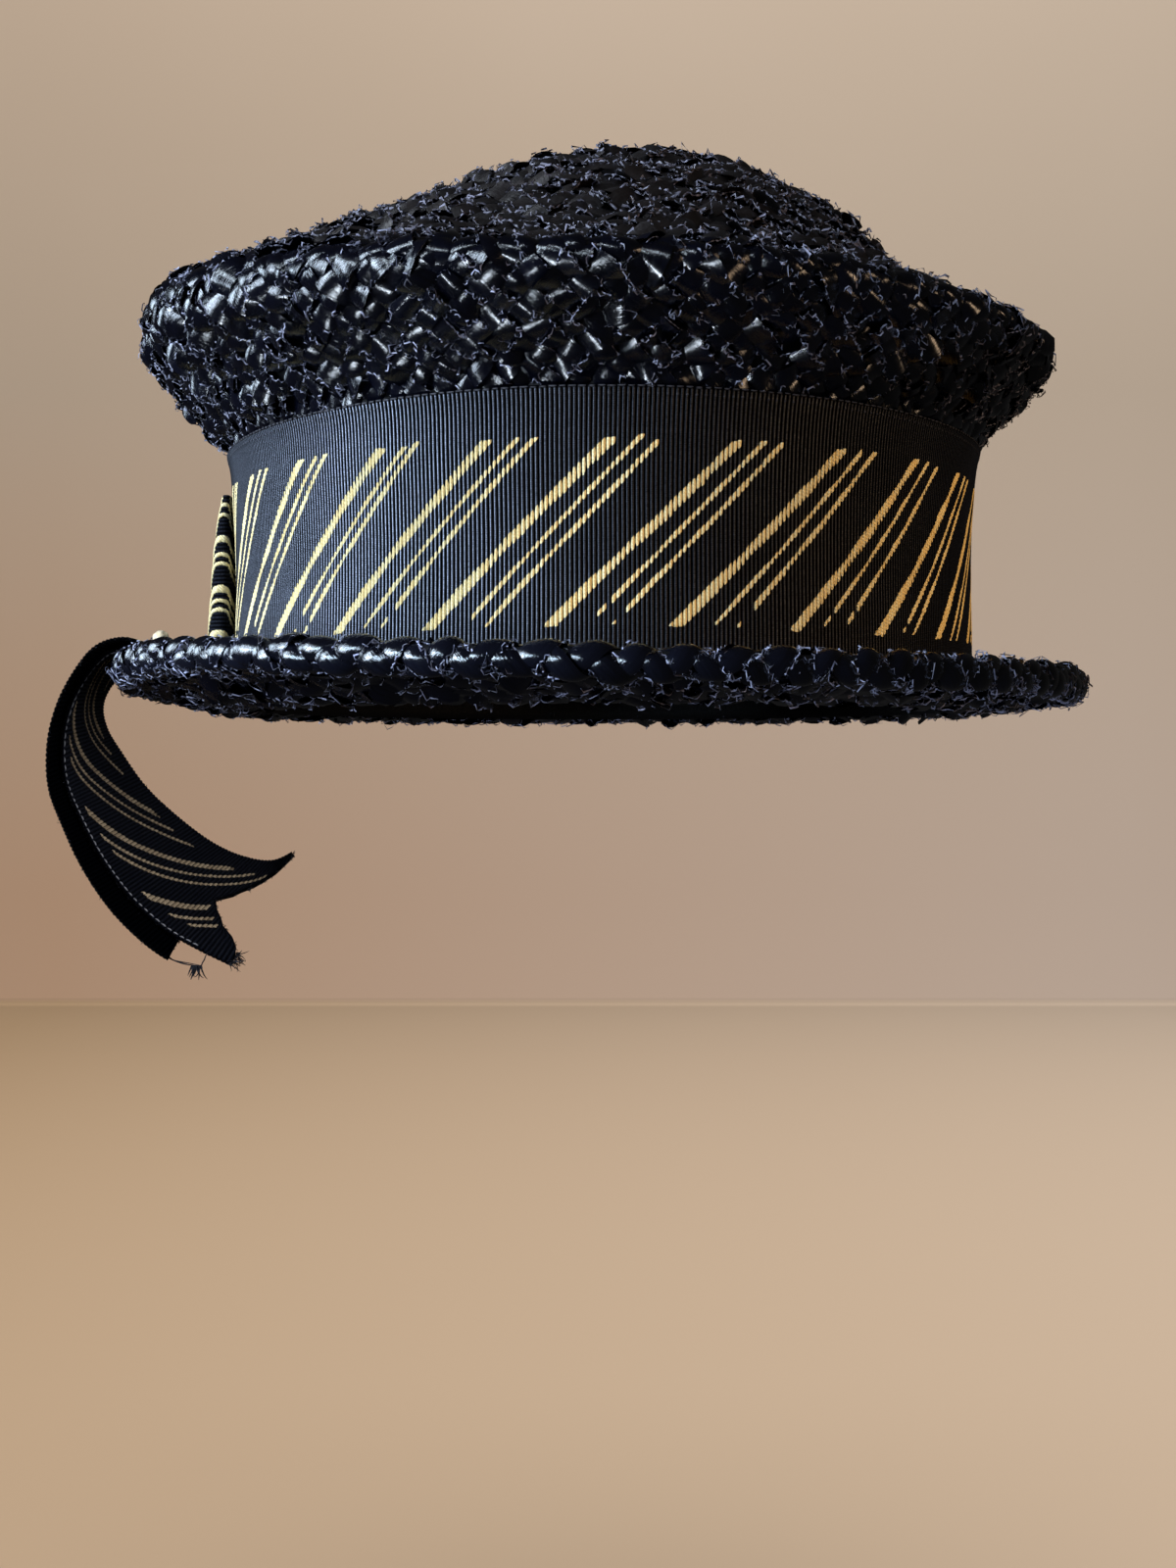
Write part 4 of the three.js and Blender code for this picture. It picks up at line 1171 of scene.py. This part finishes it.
band_window = area("band_window", (-1.20, -0.40, 0.27), (0, 0, 0.05), 0.62, 18.5, (0.74, 0.84, 1.0), 0.90)
window = area("window_left", (-1.20, -0.42, 0.24), (0, 0, 0.05), 0.26, 14, (0.68, 0.82, 1.0), 0.75)
pane = area("window_pane", (-0.92, -0.95, 0.42), (0, 0, 0.05), 0.20, 4.0, (0.72, 0.86, 1.0), 0.30)
near = area("window_near", (-0.35, -1.25, 0.50), (0, 0, 0.05), 0.16, 2.6, (0.74, 0.86, 1.0), 0.26)
low = area("low_left", (-0.62, -0.62, -0.76), (0, 0, 0.06), 0.17, 5.6, (0.76, 0.87, 1.0))
bounce = area("table_bounce", (-0.50, -0.85, -0.45), (0, -0.05, 0.0), 0.5, 3.8, (0.78, 0.84, 1.0))
bounce.visible_glossy = False
lamp = area("lamp_right", (1.05, -0.55, 0.02), (0, 0, 0.05), 0.26, 1.7, (1.0, 0.70, 0.45))
wash = area("soft_left", (-1.15, -0.62, 0.40), (0, 0, 0.03), 0.7, 14.5, (0.90, 0.96, 1.0))
wash.visible_glossy = False
glow = area("soft_right", (1.05, -0.75, 0.10), (0, 0, 0.03), 0.5, 0.9, (1.0, 0.60, 0.30))
glow.visible_glossy = False
amber = area("soft_amber", (1.05, -0.70, 0.12), (0, 0, 0.03), 0.5, 6.0, (1.0, 0.54, 0.16))
amber.visible_glossy = False
lamp_low = area("lamp_low", (0.95, -0.75, 0.02), (0, 0, 0.05), 0.26, 0.9, (1.0, 0.55, 0.24))
front = area("soft_front", (0.55, -0.95, 0.10), (-0.10, 0, -0.03), 0.35, 5.5, (0.97, 0.97, 1.0))
front.visible_glossy = False
edge_pane = area("edge_pane", (-0.92, -0.76, 0.12), (0, -0.1, 0.0), 1.0, 15.0, (0.62, 0.80, 1.0), 0.10)
edge_back = area("edge_back", (-1.10, 0.42, 0.26), (-0.08, 0, 0.02), 0.40, 5.0, (0.66, 0.82, 1.0), 0.45)
over = area("over_head", (-0.75, 0.22, 0.86), (0, 0, 0.05), 0.35, 1.75, (0.80, 0.88, 1.0))
lit = bpy.data.collections.new("lit_by_window")
for ob_ in list(bpy.context.scene.collection.objects):
    if ob_.type == "MESH":
        lit.objects.link(ob_)
tail_names = ("tail_front_ribbon", "tail_under_ribbon", "tail_front_stripes", "tail_stitch")
lit_upper = bpy.data.collections.new("lit_by_near_panes")
lit_right = bpy.data.collections.new("lit_by_lamp")
lit_tails = bpy.data.collections.new("lit_tails")
lit_edge = bpy.data.collections.new("lit_edge")
lit_gold = bpy.data.collections.new("lit_gold")
lit_band = bpy.data.collections.new("lit_band")
for ob_ in lit.objects:
    if ob_.name not in tail_names + ("straw_plait", "band_ribbon"):
        lit_upper.objects.link(ob_)
    if ob_.name not in tail_names + ("band_ribbon",):
        lit_right.objects.link(ob_)
    if ob_.name in tail_names + ("tail_under_gold", "tail_front_gold", "tail_selvedge", "tail_frays", "tail_thread"):
        lit_tails.objects.link(ob_)
    if ob_.name == "straw_plait":
        lit_edge.objects.link(ob_)
    if ob_.name in ("band_gold", "loop_gold"):
        lit_gold.objects.link(ob_)
    if ob_.name == "band_ribbon":
        lit_band.objects.link(ob_)
lit_crown = bpy.data.collections.new("lit_crown")
lit_most = bpy.data.collections.new("lit_most")
for ob_ in lit.objects:
    if ob_.name in ("straw_side_low", "straw_side_high", "straw_ridge"):
        lit_crown.objects.link(ob_)
    if ob_.name != "band_ribbon":
        lit_most.objects.link(ob_)
wash.light_linking.receiver_collection = lit
lit_brim = bpy.data.collections.new("lit_brim")
for name_ in ("straw_plait", "straw_brim"):
    lit_brim.objects.link(bpy.data.objects[name_])
bounce.light_linking.receiver_collection = lit_brim
bounce.light_linking.blocker_collection = lit
window.light_linking.receiver_collection = lit_most
low.light_linking.receiver_collection = lit_crown
low.light_linking.blocker_collection = lit
band_window.light_linking.receiver_collection = lit_band
lit_lamp = bpy.data.collections.new("lit_by_small_lamp")
for ob_ in lit_right.objects:
    if ob_.name != "straw_plait":
        lit_lamp.objects.link(ob_)
lamp.light_linking.receiver_collection = lit_lamp
for li_ in (glow,):
    li_.light_linking.receiver_collection = lit_right
for li_, group_ in ((front, lit_tails), (edge_pane, lit_edge), (amber, lit_gold), (lamp_low, lit_band)):
    li_.light_linking.receiver_collection = group_
lit_back = bpy.data.collections.new("lit_from_behind")
for name_ in ("straw_plait", "straw_side_low", "straw_side_high"):
    lit_back.objects.link(bpy.data.objects[name_])
edge_back.light_linking.receiver_collection = lit_back
lit_top = bpy.data.collections.new("lit_top")
for name_ in ("straw_top_outer", "straw_top_inner", "straw_ridge"):
    lit_top.objects.link(bpy.data.objects[name_])
over.light_linking.receiver_collection = lit_top
for li_ in (pane, near):
    li_.light_linking.receiver_collection = lit_upper
sky = area("soft_sky", (-0.8, 0.1, 1.85), (0, 0, 0), 1.8, 17, (0.90, 0.95, 1.0))
sky.visible_glossy = False
lit_sky = bpy.data.collections.new("lit_by_sky")
for ob_ in lit.objects:
    if ob_.name not in ("straw_side_low", "straw_side_high", "straw_ridge", "straw_plait"):
        lit_sky.objects.link(ob_)
sky.light_linking.receiver_collection = lit_sky
soft = area("soft_above", (-0.1, 0.1, 2.1), (0, 0.1, 0), 2.4, 34, (1.0, 0.95, 0.90))
soft.visible_glossy = False
fill = area("paper_fill", (0.0, -0.1, 2.15), (0, 0.0, 0), 2.4, 70, (1.0, 0.95, 0.90))
fill.visible_glossy = False

FLOOR_Z = -0.2375
prof = [(0.0, 0.0), (0.4, 0.0), (0.9, 0.0), (1.3, 0.0), (1.6, 0.0), (1.63, 0.0)] + [(1.644 + 0.006 * math.sin(a), 0.006 - 0.006 * math.cos(a)) for a in np.linspace(0.12, math.pi / 2, 8)] + [(1.65, 0.1), (1.65, 0.5), (1.65, 1.0), (1.65, 2.4)]
segs = 192
vs, qs = [], []
for r_, z_ in prof[1:]:
    for k_ in range(segs):
        a_ = TAU * k_ / segs
        wide_ = r_ / (abs(math.cos(a_)) ** 12 + abs(math.sin(a_)) ** 12) ** (1 / 12) if r_ > 1.2 else r_
        vs.append((wide_ * math.cos(a_) / MM, wide_ * math.sin(a_) / MM, (FLOOR_Z + z_) / MM))
qs = grid_quads(len(prof) - 1, segs, close_v=True)
vs.append((0, 0, FLOOR_Z / MM))
kk = np.arange(segs)
ts = np.stack([kk, (kk + 1) % segs, np.full_like(kk, len(vs) - 1)], -1)
m, nt, b = material("studio_paper")
geo = node(nt, "ShaderNodeNewGeometry").outputs["Position"]
pn = node(nt, "ShaderNodeTexNoise", {"Vector": geo, "Scale": 2.0, "Detail": 3.0}).outputs["Fac"]
split = node(nt, "ShaderNodeSeparateXYZ", {"Vector": geo})
# The paper's colour holds painted light: darker and warmer to the left and paler to the right, lighter toward the far
# floor, and warmer and lighter low on the wall. The floor's darker colour is carried 3-7 mm up the cove as painted
# shade. The noise is the paper's own mottling.
painted_light_across = remap(nt, split.outputs["X"], -0.5, 0.5, 0.0, 1.0)
wall_high = mix(nt, painted_light_across, mix(nt, pn, (0.56, 0.45, 0.345), (0.61, 0.50, 0.40)), mix(nt, pn, (0.64, 0.535, 0.43), (0.69, 0.58, 0.475)))
wall_low = mix(nt, painted_light_across, (0.76, 0.51, 0.35), (0.93, 0.76, 0.64))
wall_c = mix(nt, remap(nt, split.outputs["Z"], 0.34, -0.14, 0.0, 1.0), wall_high, wall_low)
floor_n = mix(nt, painted_light_across, (0.34, 0.235, 0.14), (0.50, 0.41, 0.325))
floor_f = mix(nt, painted_light_across, (0.43, 0.30, 0.185), (0.60, 0.49, 0.39))
floor_c = mix(nt, remap(nt, split.outputs["Y"], 0.2, 1.5, 0.0, 1.0), floor_n, floor_f)
high_c = remap(nt, split.outputs["Z"], FLOOR_Z + 0.003, FLOOR_Z + 0.007, 0.0, 1.0)
nt.links.new(mix(nt, high_c, floor_c, wall_c), b.inputs["Base Color"])
b.inputs["Roughness"].default_value = 0.85
me = bpy.data.meshes.new("studio_floor")
me.from_pydata([tuple(np.array(v) * MM) for v in vs], [], [tuple(int(i) for i in q_) for q_ in qs] + [tuple(int(i) for i in t_) for t_ in ts])
me.polygons.foreach_set("use_smooth", np.full(len(me.polygons), True))
me.materials.append(m)
stage = bpy.data.objects.new("studio_floor", me)
bpy.context.scene.collection.objects.link(stage)
stage.visible_glossy = False
stage.visible_diffuse = False
paper = bpy.data.collections.new("paper_only")
paper.objects.link(stage)
fill.light_linking.receiver_collection = paper
soft.light_linking.receiver_collection = paper
fill.light_linking.blocker_collection = paper

world = bpy.data.worlds.new("world")
world.use_nodes = True
bg = world.node_tree.nodes["Background"]
bg.inputs["Color"].default_value = (0.72, 0.70, 0.70, 1)
bg.inputs["Strength"].default_value = 0.024
bpy.context.scene.world = world
bpy.context.scene.view_settings.view_transform = "Standard"
